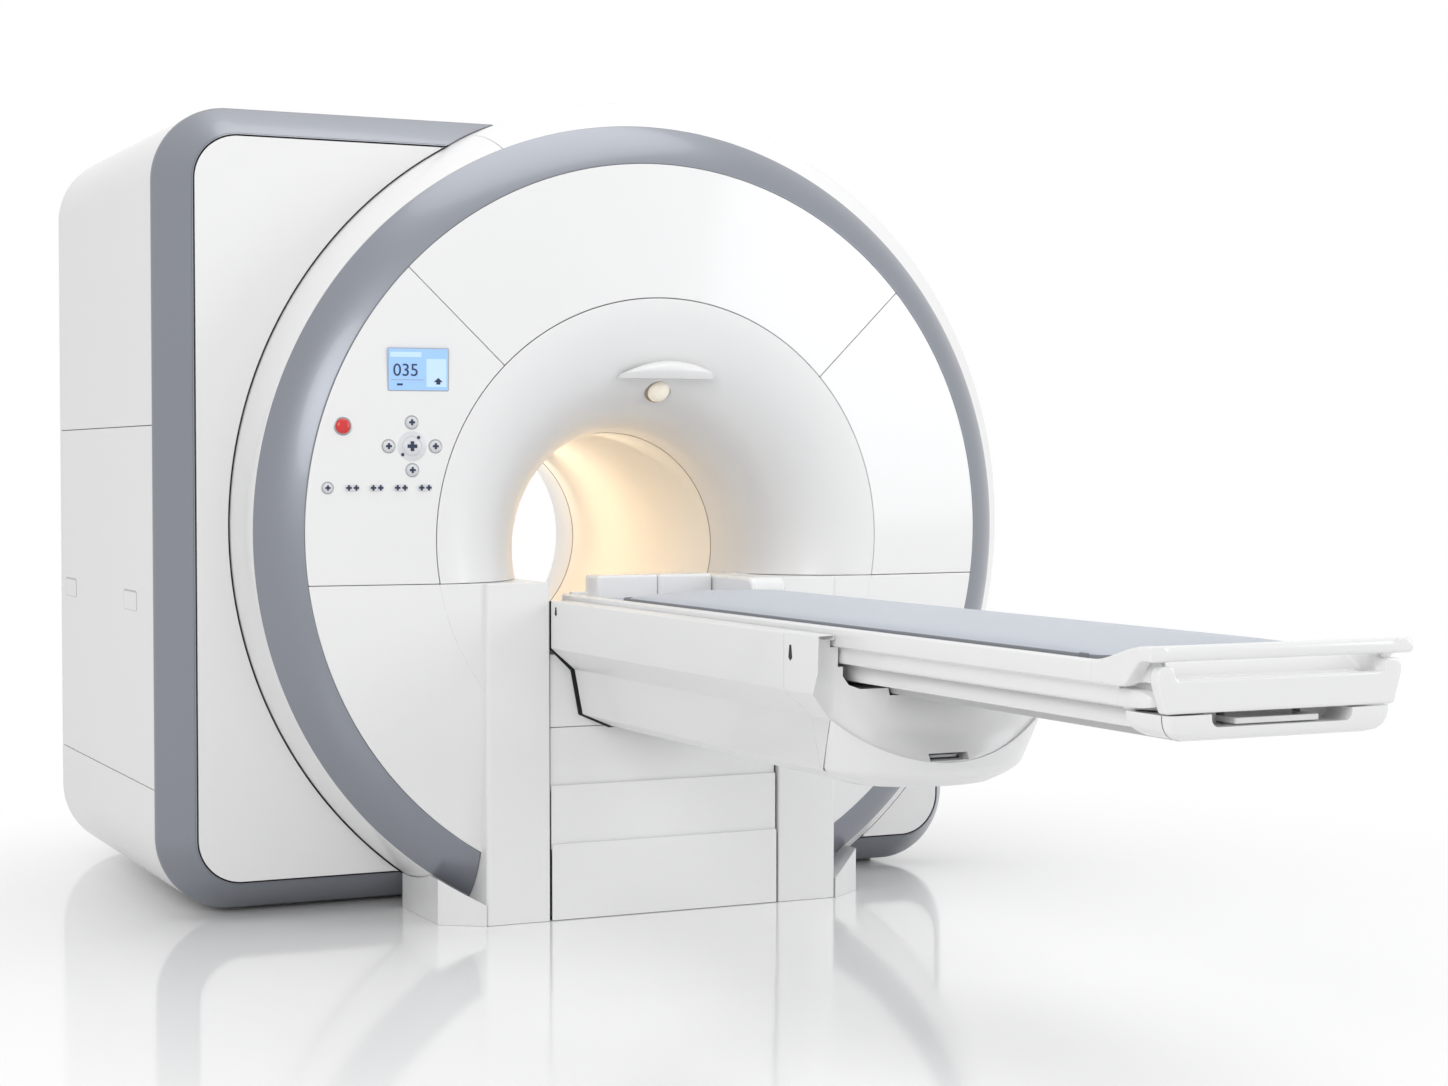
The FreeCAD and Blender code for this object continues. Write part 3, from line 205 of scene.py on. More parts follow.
def finishes():
    """Every finish of the object by name, from the colours in the panel."""
    paint = bpy.context.scene.scanner_colours
    return {
        "shell": finish("gloss_shell", paint.shell, 0.30, coat=0.35, grain=0.03, scale=240, vary=0.010),
        "slate": finish("satin_slate", paint.slate, 0.34, coat=0.30, metal=0.40, grain=0.04, scale=700),
        "liner": finish("bore_liner", paint.liner, 0.42, coat=0.15, grain=0.03, scale=160, vary=0.015),
        "tray": finish("tray_gloss", [c * 1.02 for c in paint.shell], 0.24, coat=0.45, grain=0.02, scale=240,
                       vary=0.01),
        "pad": finish("coated_cloth", paint.pad, 0.46, grain=0.35, scale=420, vary=0.05, sheen=0.15, weave=520),
        # the welt's dark colour is partly the sewn edge's own and partly painted shade along the pad's edge
        "welt": finish("pad_welt_and_painted_shade", [c * 0.36 for c in paint.pad], 0.5, grain=0.3, scale=420, vary=0.06, weave=520),
        # painted shade: the keel is a darker copy of the shell, for its shaded underside
        "keel": finish("tray_underside_painted_shade", [c * 0.66 for c in paint.shell], 0.40, coat=0.2, grain=0.03, vary=0.02),
        # near black: painted shade behind gaps, in seams and in the latch's recess, and the colour of the keyhole
        # marks
        "dark": finish("painted_shade_and_marks", (0.012, 0.012, 0.014), 0.6, grain=0.1, scale=200, vary=0.2),
        "key": finish("key_cap", (0.66, 0.67, 0.69), 0.32, coat=0.3, grain=0.05, scale=900),
        "bezel": finish("key_bezel", (0.38, 0.39, 0.41), 0.3, metal=0.6, grain=0.05, scale=900, vary=0.05),
        "ink": finish("key_ink", paint.ink, 0.4, grain=0.05, scale=900, vary=0.15),
        "stop": finish("stop_red", paint.stop, 0.42, grain=0.03, scale=500, vary=0.05),
        "screen": finish("lit_screen", paint.screen, 0.15, coat=0.6, grain=0.01, scale=300, vary=0.06, glow=0.35),
        "pale_screen": finish("lit_field", (0.47, 0.65, 0.88), 0.15, coat=0.6, vary=0.05, glow=0.25),
        "steel": finish("ground_steel", (0.56, 0.57, 0.59), 0.30, metal=1.0, grain=0.15, scale=500, vary=0.06),
        "cast": finish("milled_metal", (0.50, 0.51, 0.53), 0.45, metal=0.8, grain=0.2, scale=300, vary=0.08),
        "vessel": finish("vessel_paint", (0.62, 0.63, 0.64), 0.4, grain=0.1, scale=90, vary=0.05),
        "resin": finish("cast_resin", (0.45, 0.33, 0.16), 0.5, grain=0.2, scale=120, vary=0.15),
        "rubber": finish("foot_rubber", (0.02, 0.02, 0.02), 0.75, grain=0.4, scale=300, vary=0.2),
        "collar": finish("lamp_collar", (0.34, 0.27, 0.19), 0.35, coat=0.2, grain=0.05, scale=400, vary=0.05),
        "lamp": finish("lamp_glass", (0.90, 0.84, 0.72), 0.2, coat=0.3, glow=0.15),
    }


# ------------------------------------------------------------------ mesh tools

def oblong(left, right, low, high):
    """The four corners of an upright oblong, from the low left one round by the low right one."""
    return [(left, low), (right, low), (right, high), (left, high)]


def mirrored(half):
    """The open outline followed by its mirror image across the middle."""
    return half + [(-x, z) for x, z in half[::-1]]


def mirrored_band(outer, inner):
    """The strip between two open outlines and their mirror images, closed at its two ends."""
    return mirrored(outer) + [(-x, z) for x, z in inner] + inner[::-1]


def eased(share):
    """A smooth step from nought to one: three times the square less twice the cube, held at both ends."""
    share = np.clip(share, 0, 1)
    return share * share * (3 - 2 * share)


def circle_rows(radius, depth, angle, height, across=0.0):
    """Rows of points on upright circles: the radius times cosine and sine of the angle, from the centre."""
    return np.stack(np.broadcast_arrays(across + radius * np.cos(angle), depth,
                                        height + radius * np.sin(angle)), -1)


def rays(x, z, centre):
    """Unit directions from the centre to each place, seen from the front."""
    ray = np.stack([x - centre[0], z - centre[1]], -1)
    return ray / np.linalg.norm(ray, axis=-1, keepdims=True)


def grid_faces(rows, columns, ring=False):
    """Quads between neighbouring rows and columns. With ring, the last column joins the first."""
    r = np.arange(rows - 1)[:, None]
    c = np.arange(columns if ring else columns - 1)[None, :]
    after = (c + 1) % columns
    above, below = r * columns, (r + 1) * columns
    return np.stack([above + c, above + after, below + after, below + c], -1).reshape(-1, 4)


def grid(points):
    """A grid of points as one open sheet of quads."""
    return points.reshape(-1, 3), grid_faces(*points.shape[:2]).tolist()


def tube(points):
    """A grid whose rows are closed rings, with a cap on its first and last ring."""
    rows, columns = points.shape[:2]
    ends = [list(range(columns)), list(range((rows - 1) * columns, rows * columns))]
    return points.reshape(-1, 3), grid_faces(rows, columns, ring=True).tolist() + ends


def grid_normals(points, ring=False):
    """Unit normals: the cross product of central differences along both directions, over its length."""
    if ring:
        wide = np.concatenate([points[:, -1:], points, points[:, :1]], axis=1)
        across = (wide[:, 2:] - wide[:, :-2]) / 2
    else:
        across = np.gradient(points, axis=1)
    down = np.gradient(points, axis=0)
    normals = np.cross(down, across)
    size = np.linalg.norm(normals, axis=-1, keepdims=True)
    return normals / np.maximum(size, 1e-12)


def thick_sheet(points, wall, hidden, ring=False):
    """A grid and its copy moved by the wall along the normals towards the hidden side, joined at the rim.
    Hidden is one direction, or one for each point."""
    rows, columns = points.shape[:2]
    normals = grid_normals(points, ring)
    facing = np.nanmean(np.sum(normals * hidden, axis=-1))
    back = points + normals * (wall if facing > 0 else -wall)
    front_faces = grid_faces(rows, columns, ring)
    count = rows * columns
    index = np.arange(count).reshape(rows, columns)
    rims = []
    for line in (index[0], index[-1]):
        after = np.roll(line, -1) if ring else line[1:]
        start = line if ring else line[:-1]
        rims.append(np.stack([start, after, after + count, start + count], -1))
    if not ring:
        for line in (index[:, 0], index[:, -1]):
            rims.append(np.stack([line[:-1], line[1:], line[1:] + count, line[:-1] + count], -1))
    faces = np.concatenate([front_faces, front_faces[:, ::-1] + count, *rims])
    return np.concatenate([points.reshape(-1, 3), back.reshape(-1, 3)]), faces.tolist()


def extrusion(outline, axis, start, end):
    """A closed prism: the outline copied to the start and end along the axis, walls between, and two caps.
    Start and end may be one place or one for each point of the outline."""
    outline = np.asarray(outline, float)
    count = len(outline)
    rings = []
    for place in (start, end):
        ring = np.insert(outline, axis, 0, axis=1)
        ring[:, axis] = place
        rings.append(ring)
    number = np.arange(count)
    after = (number + 1) % count
    faces = np.stack([number, after, after + count, number + count], -1).tolist()
    faces += [number[::-1].tolist(), (number + count).tolist()]
    return np.concatenate(rings), faces


def softened(outline, radius, steps=5):
    """The outline with each corner replaced by an arc of the given radius, or one radius for each corner. The
    arc's centre lies on the corner's bisector, and its ends where the run is the radius over the tangent of
    half the corner. A run is at most 0.49 of its side."""
    outline = np.asarray(outline, float)
    radii = np.broadcast_to(np.asarray(radius, float), (len(outline),))
    result = []
    for index, corner in enumerate(outline):
        before = outline[index - 1] - corner
        after = outline[(index + 1) % len(outline)] - corner
        reach = [np.linalg.norm(before), np.linalg.norm(after)]
        before, after = before / reach[0], after / reach[1]
        half = math.acos(np.clip(before @ after, -1, 1)) / 2
        if radii[index] <= 0 or abs(half - math.pi / 2) < 1e-3:
            result.append(corner[None])
            continue
        run = min(radii[index] / math.tan(half), 0.49 * min(reach))
        size = run * math.tan(half)
        middle = corner + (before + after) / np.linalg.norm(before + after) * size / math.sin(half)
        first, last = corner + before * run - middle, corner + after * run - middle
        share = np.linspace(0, 1, steps + 1)[:, None]
        chord = first * (1 - share) + last * share
        result.append(middle + chord / np.linalg.norm(chord, axis=1, keepdims=True) * size)
    return np.concatenate(result)


def lathe(profile, centre, normal, steps=48):
    """A profile of (radius, height along the normal) carried round the normal through the centre."""
    profile = np.asarray(profile, float)
    normal = np.asarray(normal, float) / np.linalg.norm(normal)
    side = np.cross(normal, [0, 0, 1.0])
    side /= np.linalg.norm(side)
    up = np.cross(side, normal)
    turn = np.linspace(0, 2 * math.pi, steps, endpoint=False)[None, :, None]
    around = np.cos(turn) * side + np.sin(turn) * up
    points = np.asarray(centre) + profile[:, 0, None, None] * around + profile[:, 1, None, None] * normal
    return points.reshape(-1, 3), grid_faces(len(profile), steps, ring=True).tolist()


def piece(name, parts, material, body, nodes=(), slot="white_shell", bevel=None, sharp=38, steps=3):
    """One finished object from meshes given as (points, faces), riding on a body and standing for nodes. Edges
    that turn by more than the sharp angle, in degrees, stay sharp and get the bevel."""
    points, faces, count = [], [], 0
    for part_points, part_faces in parts:
        points.append(part_points)
        faces += [[i + count for i in face] for face in part_faces]
        count += len(part_points)
    mesh = bpy.data.meshes.new(name)
    mesh.from_pydata(np.concatenate(points).tolist(), [], faces)
    shape = bmesh.new()
    shape.from_mesh(mesh)
    bmesh.ops.remove_doubles(shape, verts=shape.verts, dist=2e-6)
    bmesh.ops.dissolve_degenerate(shape, edges=shape.edges, dist=1e-6)
    bmesh.ops.recalc_face_normals(shape, faces=shape.faces)
    shape.to_mesh(mesh)
    shape.free()
    mesh.shade_smooth()
    mesh.set_sharp_from_angle(angle=math.radians(sharp))
    thing = bpy.data.objects.new(name, mesh)
    bpy.context.scene.collection.objects.link(thing)
    if bevel:
        edge = thing.modifiers.new("edges", "BEVEL")
        edge.width = bevel
        edge.segments = steps
        edge.limit_method = "ANGLE"
        edge.angle_limit = math.radians(sharp - 6)
        edge.harden_normals = True
    mesh.materials.append(material)
    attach(thing, body)
    if nodes:
        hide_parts(*nodes)
    return thing


def points_of(mesh):
    """The mesh's points as rows of three."""
    points = np.empty(len(mesh.vertices) * 3)
    mesh.vertices.foreach_get("co", points)
    return points.reshape(-1, 3)


def baked(thing):
    """The object's mesh with its modifiers applied, put back on the object."""
    evaluated = thing.evaluated_get(bpy.context.evaluated_depsgraph_get())
    mesh = bpy.data.meshes.new_from_object(evaluated)
    thing.modifiers.clear()
    thing.data = mesh
    return mesh


def dress(names, material):
    """Give carried-over CAD nodes their finish."""
    for name in names:
        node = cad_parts[name]
        if not node.material_slots:
            node.data.materials.append(material)
        for place in node.material_slots:
            place.material = material


# ------------------------------------------------------------------ bore

def trumpet(face_y, bore_y, mouth, mouth_z, turn):
    """Flared section: depth falls with the sine of the turn while radius and height grow with one minus
    its cosine, a quarter of an ellipse that is tangent to the bore at one end and the face at the other."""
    opened = 1 - np.cos(turn)
    return (bore_y + (face_y - bore_y) * np.sin(turn), BORE + (mouth - BORE) * opened,
            AXIS + (mouth_z - AXIS) * opened)


def mouth_section(turn):
    """The front flare's section, from the bore to the seam."""
    return trumpet(0, TUNNEL[0], SEAM - GAP, SEAM_Z, turn)


def flare_depth(x, z):
    """Depth of the front flare at a place seen from the front, read back from the section's formula."""
    depth, radius, height = mouth_section(np.linspace(0, math.pi / 2, 400))
    reach = np.hypot(np.asarray(x)[..., None], np.asarray(z)[..., None] - height)
    nearest = np.argmin(np.abs(reach - radius), axis=-1)
    return depth[nearest]


class SCANNER_OT_bore(bpy.types.Operator):
    """Make the flared mouth, the liner with its rails and seams, and the rear mouth"""
    bl_idname = "scanner.bore"
    bl_label = "Bore covers"

    def execute(self, context):
        looks = finishes()
        wall = context.scene.scanner_sizes.cover_wall
        # the front mouth: the whole flare above the cut, and only its inner lip below
        cut = SHELF + GAP / 2
        parts = []
        for last_turn, rows, columns, upper in ((math.pi / 2, 64, 161, True),
                                                (math.asin(LIP / TUNNEL[0]), 12, 60, False)):
            depth, radius, height = [v[:, None] for v in mouth_section(np.linspace(0, last_turn, rows))]
            low = np.arcsin((cut - height) / radius)
            first, last = (low, math.pi - low) if upper else (math.pi - low, 2 * math.pi + low)
            angle = first + (last - first) * np.linspace(0, 1, columns)[None, :]
            points = circle_rows(radius, depth, angle, height)
            parts.append(thick_sheet(points, wall, self.outward(points, 0.2)))
        piece("flared_mouth", parts, looks["shell"], "scanner", ["bore_funnel"], bevel=0.0012)

        around = np.linspace(0, 2 * math.pi, 192, endpoint=False)[None, :]
        near, far = TUNNEL[0] + GAP, TUNNEL[1] - GAP
        points = circle_rows(BORE, np.linspace(near, far, 24)[:, None], around, AXIS)
        parts = [thick_sheet(points, 0.006, self.outward(points, 0), ring=True)]
        for side in (-1, 1):
            rail = [(side * x, z) for x, z in ((0.140, 0.638), (0.185, 0.666), (0.185, 0.6896), (0.140, 0.6896))]
            parts.append(extrusion(softened(rail, 0.003, 3), 1, near, far))
        piece("bore_sleeve", parts, looks["liner"], "scanner", ["bore_tunnel"], "bore_liner", bevel=0.0015)

        # painted shade: dark seam rings at both ends of the liner, each an oblong carried round, standing in for
        # the shade in the gaps
        low, high, half = BORE - 0.0010, BORE + 0.0020, 0.0016
        section = [(low, half), (low, -half), (high, -half), (high, half), (low, half)]
        rings = [lathe(section, (0, depth, AXIS), (0, 1, 0), 192) for depth in TUNNEL]
        piece("bore_seam_painted_shade", rings, looks["collar"], "scanner", slot="bore_liner")

        turn = np.linspace(0, math.pi / 2, 48)
        depth, radius, height = [v[:, None] for v in trumpet(REAR, TUNNEL[1], 0.5185, AXIS, turn)]
        points = circle_rows(radius, depth, around, height)
        piece("rear_mouth", [thick_sheet(points, wall, self.outward(points, -0.2), ring=True)], looks["shell"],
              "scanner", ["rear_funnel"], bevel=0.0012)
        return {"FINISHED"}

    def outward(self, points, along):
        """Directions away from the bore's axis, leaning along it by the given length."""
        away = points - [0, 0, AXIS]
        away[..., 1] = along
        return away


class SCANNER_OT_brow(bpy.types.Operator):
    """Make the domed brow over the mouth and the lamp under it"""
    bl_idname = "scanner.brow"
    bl_label = "Brow and lamp"

    def execute(self, context):
        looks = finishes()
        self.dome(looks)
        # lamp: a domed glass that leans out of the flare in a thin collar
        place, lean = (0.027, 0.098, 1.307), (0.0, -0.80, -0.60)
        lamp = lathe([(0.0, 0.020), (0.012, 0.0188), (0.0215, 0.0148), (0.0280, 0.0075), (0.0292, 0.0),
                      (0.0292, -0.012), (0.0, -0.012)], place, lean)
        piece("mouth_lamp", [lamp], looks["lamp"], "scanner", ["brow_lens"], "lens")
        collar = lathe([(0.0297, -0.010), (0.0297, 0.0015), (0.0315, 0.0025), (0.0345, 0.0010), (0.0360, -0.004),
                        (0.0360, -0.010), (0.0297, -0.010)], place, lean)
        piece("lamp_collar", [collar], looks["collar"], "scanner", slot="bore_liner")
        return {"FINISHED"}

    def dome(self, looks):
        """A shallow dome on a half-round shelf: across with the cosine, out and up with the sines of two angles,
        all measured from the flare."""
        centre, wide, tall, out = (0.027, 1.3365), 0.128, 0.046, 0.066
        foot, clear = 0.010, 0.0006

        def stood(x, z, stand):
            """Points that stand out of the flare by the given length, and clear of it."""
            return np.stack([x, flare_depth(x, z) - stand - clear, z], -1)

        around = np.linspace(0, math.pi, 90)[None, :]
        rise = np.linspace(0, math.pi / 2, 24)[:, None]
        x = centre[0] + wide * np.cos(around) * np.cos(rise * 0.62)
        z = (centre[1] + foot * np.minimum(rise / 0.25, 1)
             + (tall - foot) * np.sin(rise) * np.sin(around) ** 0.8)
        shelf_out = out * np.sin(around) ** 0.9
        shelf_x = centre[0] + wide * np.cos(around) * np.ones((2, 1))
        top = stood(x, z, shelf_out * np.cos(rise) ** 0.9)
        shelf = stood(shelf_x, np.full_like(shelf_x, centre[1]), np.array([[1.0], [0.0]]) * shelf_out)
        rear = stood(x[[0, -1]], z[[0, -1]], 0.0)
        piece("mouth_brow", [grid(top), grid(shelf), grid(rear)], looks["shell"], "scanner", ["brow"],
              bevel=0.0015, sharp=50)


# ------------------------------------------------------------------ round front

def seam_edge(angle, side):
    """Angle of a radial seam's edge at a distance: half a gap to one side, over the distance."""
    return lambda rho: angle + side * GAP / 2 / rho


def level_edge(side, drop):
    """Angle of a level edge at a distance: the arcsine of its drop below the seam's centre over the distance."""
    return lambda rho: math.pi + np.arcsin(drop / rho) if side < 0 else -np.arcsin(drop / rho)


def upright_edge(side):
    """Angle of the upright edge on a pillar at a distance: the arcsine of its place across over the distance,
    from straight down."""
    down = 1.5 * math.pi if side < 0 else -0.5 * math.pi
    return lambda rho: down + side * np.arcsin((PILLAR_OUT - 0.0035) / rho)


def face_sheet(first, last, columns):
    """The shallow cone between the seam circle and the ring, in rays from the seam's centre. Each edge is an
    angle that depends on the distance, so that a seam of even width or a level edge comes out straight. The
    distance follows from the angle and the angle from the distance, in eight rounds."""
    rows, start, drop = 20, SEAM + GAP / 2, RING_Z - SEAM_Z
    share = np.linspace(0, 1, rows)[:, None]
    along = np.linspace(0, 1, columns)[None, :]
    rho = np.full((rows, columns), 0.75)
    for _ in range(8):
        angle = first(rho) + (last(rho) - first(rho)) * along
        reach = drop * np.sin(angle) + np.sqrt(FACE_EDGE ** 2 - (drop * np.cos(angle)) ** 2)
        rho = start + (reach - start) * share
    return circle_rows(rho, FACE_FALL * (rho - SEAM) / (reach - SEAM), angle, SEAM_Z)


def face_depth(x, z):
    """Depth of the cone at a place on it: its fall times the share of the way from the seam to the edge, which
    is a little further off above the middle than below."""
    width = 0.317 + (RING_Z - SEAM_Z) * (z - SEAM_Z) / 0.9
    return FACE_FALL * (np.hypot(x, z - SEAM_Z) - SEAM) / width


def bow(share, height):
    """A flat arc over a slope: four times the share, times one minus the share, times the height."""
    return 4 * share * (1 - share) * height


class SCANNER_OT_face(bpy.types.Operator):
    """Make the five panels of the round face, the pillars of the lower two, and the ring"""
    bl_idname = "scanner.face"
    bl_label = "Face panels"

    def execute(self, context):
        looks = finishes()
        sizes = context.scene.scanner_sizes
        left, right = math.radians(135), math.radians(43)
        above = SEAM_Z - SHELF - GAP / 2
        covers = {
            "face_cover_top": ("face_top", seam_edge(right, 1), seam_edge(left, -1), 120),
            "face_cover_left": ("face_left", seam_edge(left, 1), level_edge(-1, above), 80),
            "face_cover_right": ("face_right", level_edge(1, above), seam_edge(right, -1), 80),
        }
        for name, (node, *panel) in covers.items():
            piece(name, [thick_sheet(face_sheet(*panel), sizes.cover_wall, INTO)], looks["shell"], "scanner",
                  [node], bevel=sizes.cover_edge)
        for side, word in ((-1, "left"), (1, "right")):
            piece(f"pedestal_cover_{word}", self.pedestal(side, sizes.cover_wall), looks["shell"], "scanner",
                  [f"pedestal_{word}"], bevel=sizes.cover_edge)
        self.ring(looks, sizes.cover_wall)
        return {"FINISHED"}

    def pedestal(self, side, wall):
        """A lower panel of the face, the pillar beside the table, the ledge on its side, and a plate in the
        corner between seam, pillar and cut: an arc of the seam's circle closed by the corner's point."""
        below, top, inside = SEAM_Z - SHELF + GAP / 2, SHELF - GAP / 2, PILLAR_OUT - 0.004
        edges = (level_edge(side, below), upright_edge(side))[::-side]
        pillar = [(side * x, y) for x, y in oblong(PILLAR_IN, PILLAR_OUT, -0.013, 0.290)]
        ledge = [(side * x, y) for x, y in ((inside, 0.010), (0.588, 0.010), (0.540, 0.024), (inside, 0.048))]
        radius = SEAM + 0.0012
        bend = np.linspace(math.acos(inside / radius), math.asin(below / radius), 40)
        corner = np.column_stack([side * radius * np.cos(bend), SEAM_Z - radius * np.sin(bend)]).tolist()
        return [thick_sheet(face_sheet(*edges, 60), wall, INTO),
                extrusion(softened(pillar, [0.004, 0.010, 0, 0]), 2, 0.0, top),
                extrusion(ledge, 2, SHELF - 0.007, top),
                extrusion(corner + [(side * inside, top)], 1, 0.0, 0.0072)]

    def ring(self, looks, wall):
        """The bevelled ring: a slope from the face's edge to the flank's, bowed out along its normal, carried
        round and cut beside the pedestal."""
        out, forward = 0.634, 0.773         # unit normal of the slope
        share = np.linspace(0, 1, 22)
        bulge = bow(share, 0.009)
        radius = (0.9175 + 0.1025 * share + out * bulge)[:, None]
        depth = (FACE_FALL + 0.084 * share - forward * bulge)[:, None]
        beside = np.arcsin(0.4797 / radius)
        angle = -math.pi / 2 + beside + (2 * math.pi - 2 * beside) * np.linspace(0, 1, 321)[None, :]
        points = circle_rows(radius, depth, angle, RING_Z)
        piece("slate_ring", [thick_sheet(points, wall, np.array([0, 0.7, RING_Z]) - points)], looks["slate"],
              "scanner", ["front_ring"], "slate_trim", bevel=0.003)


# ------------------------------------------------------------------ flank

def flank_circle(depth):
    """Radius, centre across and centre height of the flank at a depth: a parabola through three stations
    up to the rim, then a straight taper."""
    depth = np.asarray(depth, float)
    a, b, c = FLANK_STATIONS
    weights = np.stack([(depth - b) * (depth - c) / ((a - b) * (a - c)),
                        (depth - a) * (depth - c) / ((b - a) * (b - c)),
                        (depth - a) * (depth - b) / ((c - a) * (c - b))], -1)
    curved = weights @ FLANK_SIZES
    share = np.clip((depth - c) / (TAIL[0] - c), 0, 1)[..., None]
    straight = FLANK_SIZES[2] * (1 - share) + TAIL[1] * share
    return np.moveaxis(np.where(depth[..., None] > c, straight, curved), -1, 0)


class SCANNER_OT_flank(bpy.types.Operator):
    """Make the white flank behind the ring, in its two parts"""
    bl_idname = "scanner.flank"
    bl_label = "Flank"

    def execute(self, context):
        looks = finishes()
        sizes = context.scene.scanner_sizes
        # rows on the flank's circles, each from the seam at the top to the cut beside the pedestal or the floor
        seam_x, beside_x, floor_z = -0.386, 0.481, 0.0135
        depth = np.concatenate([np.linspace(0.1135, 0.450, 30), np.linspace(0.458, 0.620, 10)])[:, None]
        radius, across, height = flank_circle(depth)
        floor = np.arcsin(np.clip((floor_z - height) / radius, -1, 1))
        for word, side, node, columns in (("left", -1, "flank_left", 130), ("right", 1, "flank_upper_right", 220)):
            seam = np.arccos((seam_x + side * GAP / 2 - across) / radius)
            beside = np.arccos(np.clip((side * beside_x - across) / radius, -1, 1))
            if side < 0:
                start, end = seam, np.minimum(2 * math.pi - beside, math.pi - floor)
            else:
                start, end = np.maximum(-beside, floor), seam
            angle = start + (end - start) * np.linspace(0, 1, columns)[None, :]
            points = circle_rows(radius, depth, angle, height, across)
            centres = circle_rows(0, depth, angle, height, across)
            piece(f"flank_cover_{word}", [thick_sheet(points, sizes.cover_wall, centres - points)],
                  looks["shell"], "scanner", [node], bevel=sizes.cover_edge)
        return {"FINISHED"}


# ------------------------------------------------------------------ housing

def outline_table(inset):
    """The housing's outline moved in by the inset: x and z against a running share of its eight stretches,
    from the crown's end leftwards round to the crown."""
    left, right, low, high = HOUSING + np.array([inset, -inset, inset, -inset])
    tight, wide = CORNER - inset, CROWN - inset
    quarter = np.linspace(0, math.pi / 2, 60)
    arcs = {
        "top": (np.array([right - wide, left + tight]), np.array([high, high])),
        "top_left": (left + tight - tight * np.sin(quarter), high - tight + tight * np.cos(quarter)),
        "left": (np.array([left, left]), np.array([high - tight, low + tight])),
        "low_left": (left + tight - tight * np.cos(quarter), low + tight - tight * np.sin(quarter)),
        "low": (np.array([left + tight, right - tight]), np.array([low, low])),
        "low_right": (right - tight + tight * np.sin(quarter), low + tight - tight * np.cos(quarter)),
        "right": (np.array([right, right]), np.array([low + tight, high - wide])),
        "crown": (right - wide + wide * np.cos(quarter), high - wide + wide * np.sin(quarter)),
    }
    knots = [0, 0.15, 0.25, 0.45, 0.55, 0.75, 0.85, 0.90, 1.0]
    share = [np.linspace(start, end, len(arc[0])) for start, end, arc in zip(knots, knots[1:], arcs.values())]
    return [np.concatenate(row) for row in (share, *zip(*arcs.values()))]


def on_outline(inset, share):
    """Points of the outline at running shares, which may pass 1 to go on round."""
    table, x, z = outline_table(inset)
    return np.interp(share % 1.0, table, x), np.interp(share % 1.0, table, z)


def clear_of_flank(inset, depth, gap, middle):
    """The stretch of the outline round the given share that lies outside the flank by the gap: the first
    blocked places each way from the middle, with the crossing found by a straight line between samples."""
    half = 3000
    share = np.linspace(middle - 0.5, middle + 0.5, 2 * half + 1)
    x, z = on_outline(inset, share)
    radius, across, height = flank_circle(depth)
    free = np.hypot(x - across, z - height) - radius - gap
    blocked = np.flatnonzero(free < 0)
    before, after = blocked[blocked < half], blocked[blocked > half]
    ends = []
    for a, b in ((before[-1], before[-1] + 1), (after[0], after[0] - 1)):
        ends.append(share[a] + (share[b] - share[a]) * (-free[a]) / (free[b] - free[a]))
    return ends


class SCANNER_OT_band(bpy.types.Operator):
    """Make the grey bevelled band round the housing and the flat panels inside it"""
    bl_idname = "scanner.band"
    bl_label = "Band and front panels"

    def execute(self, context):
        looks = finishes()
        sizes = context.scene.scanner_sizes
        front, back, wide = BAND
        # section: a lip, the bevel bowed out along its normal, and the return to the housing
        out, forward = 0.819, 0.573         # unit normal of the bevel
        rise = np.linspace(0, 1, 15)
        bulge = bow(rise, 0.002)
        depth = np.concatenate([[front + 0.014], front + (back - front) * rise - forward * bulge, [0.460]])
        inset = np.concatenate([[wide], wide * (1 - rise) - out * bulge, [0.0]])
        parts = []
        for middle, columns in ((LEFT_ROUND, 420), (RIGHT_ROUND, 120)):
            rows = []
            for y, move in zip(depth, inset):
                start, end = clear_of_flank(move, y, SHADOW, middle)
                x, z = on_outline(move, np.linspace(start, end, columns))
                rows.append(np.stack([x, np.full(columns, y), z], -1))
            points = np.array(rows)
            parts.append(thick_sheet(points, 0.005, np.array([0, 1.1, 0.95]) - points))
        piece("slate_band", parts, looks["slate"], "scanner", ["edge_band"], "slate_trim", bevel=0.003)

        # panels: straight lines from the outline to the flank's circle
        radius, across, height = flank_circle(front)
        for middle, columns, word in ((LEFT_ROUND, 360, "left"), (RIGHT_ROUND, 110, "right")):
            start, end = clear_of_flank(wide + SHADOW, front, SHADOW, middle)
            x, z = on_outline(wide + SHADOW, np.linspace(start, end, columns))
            inner = np.array([across, height]) + rays(x, z, (across, height)) * (radius + SHADOW)
            share = np.linspace(0, 1, 14)[:, None, None]
            flat = np.stack([x, z], -1)[None] * (1 - share) + inner[None] * share
            piece(f"front_plate_{word}", [thick_sheet(np.insert(flat, 1, front, axis=2), sizes.cover_wall, INTO)],
                  looks["shell"], "scanner", [f"front_panel_{word}"], bevel=0.0018)
        return {"FINISHED"}


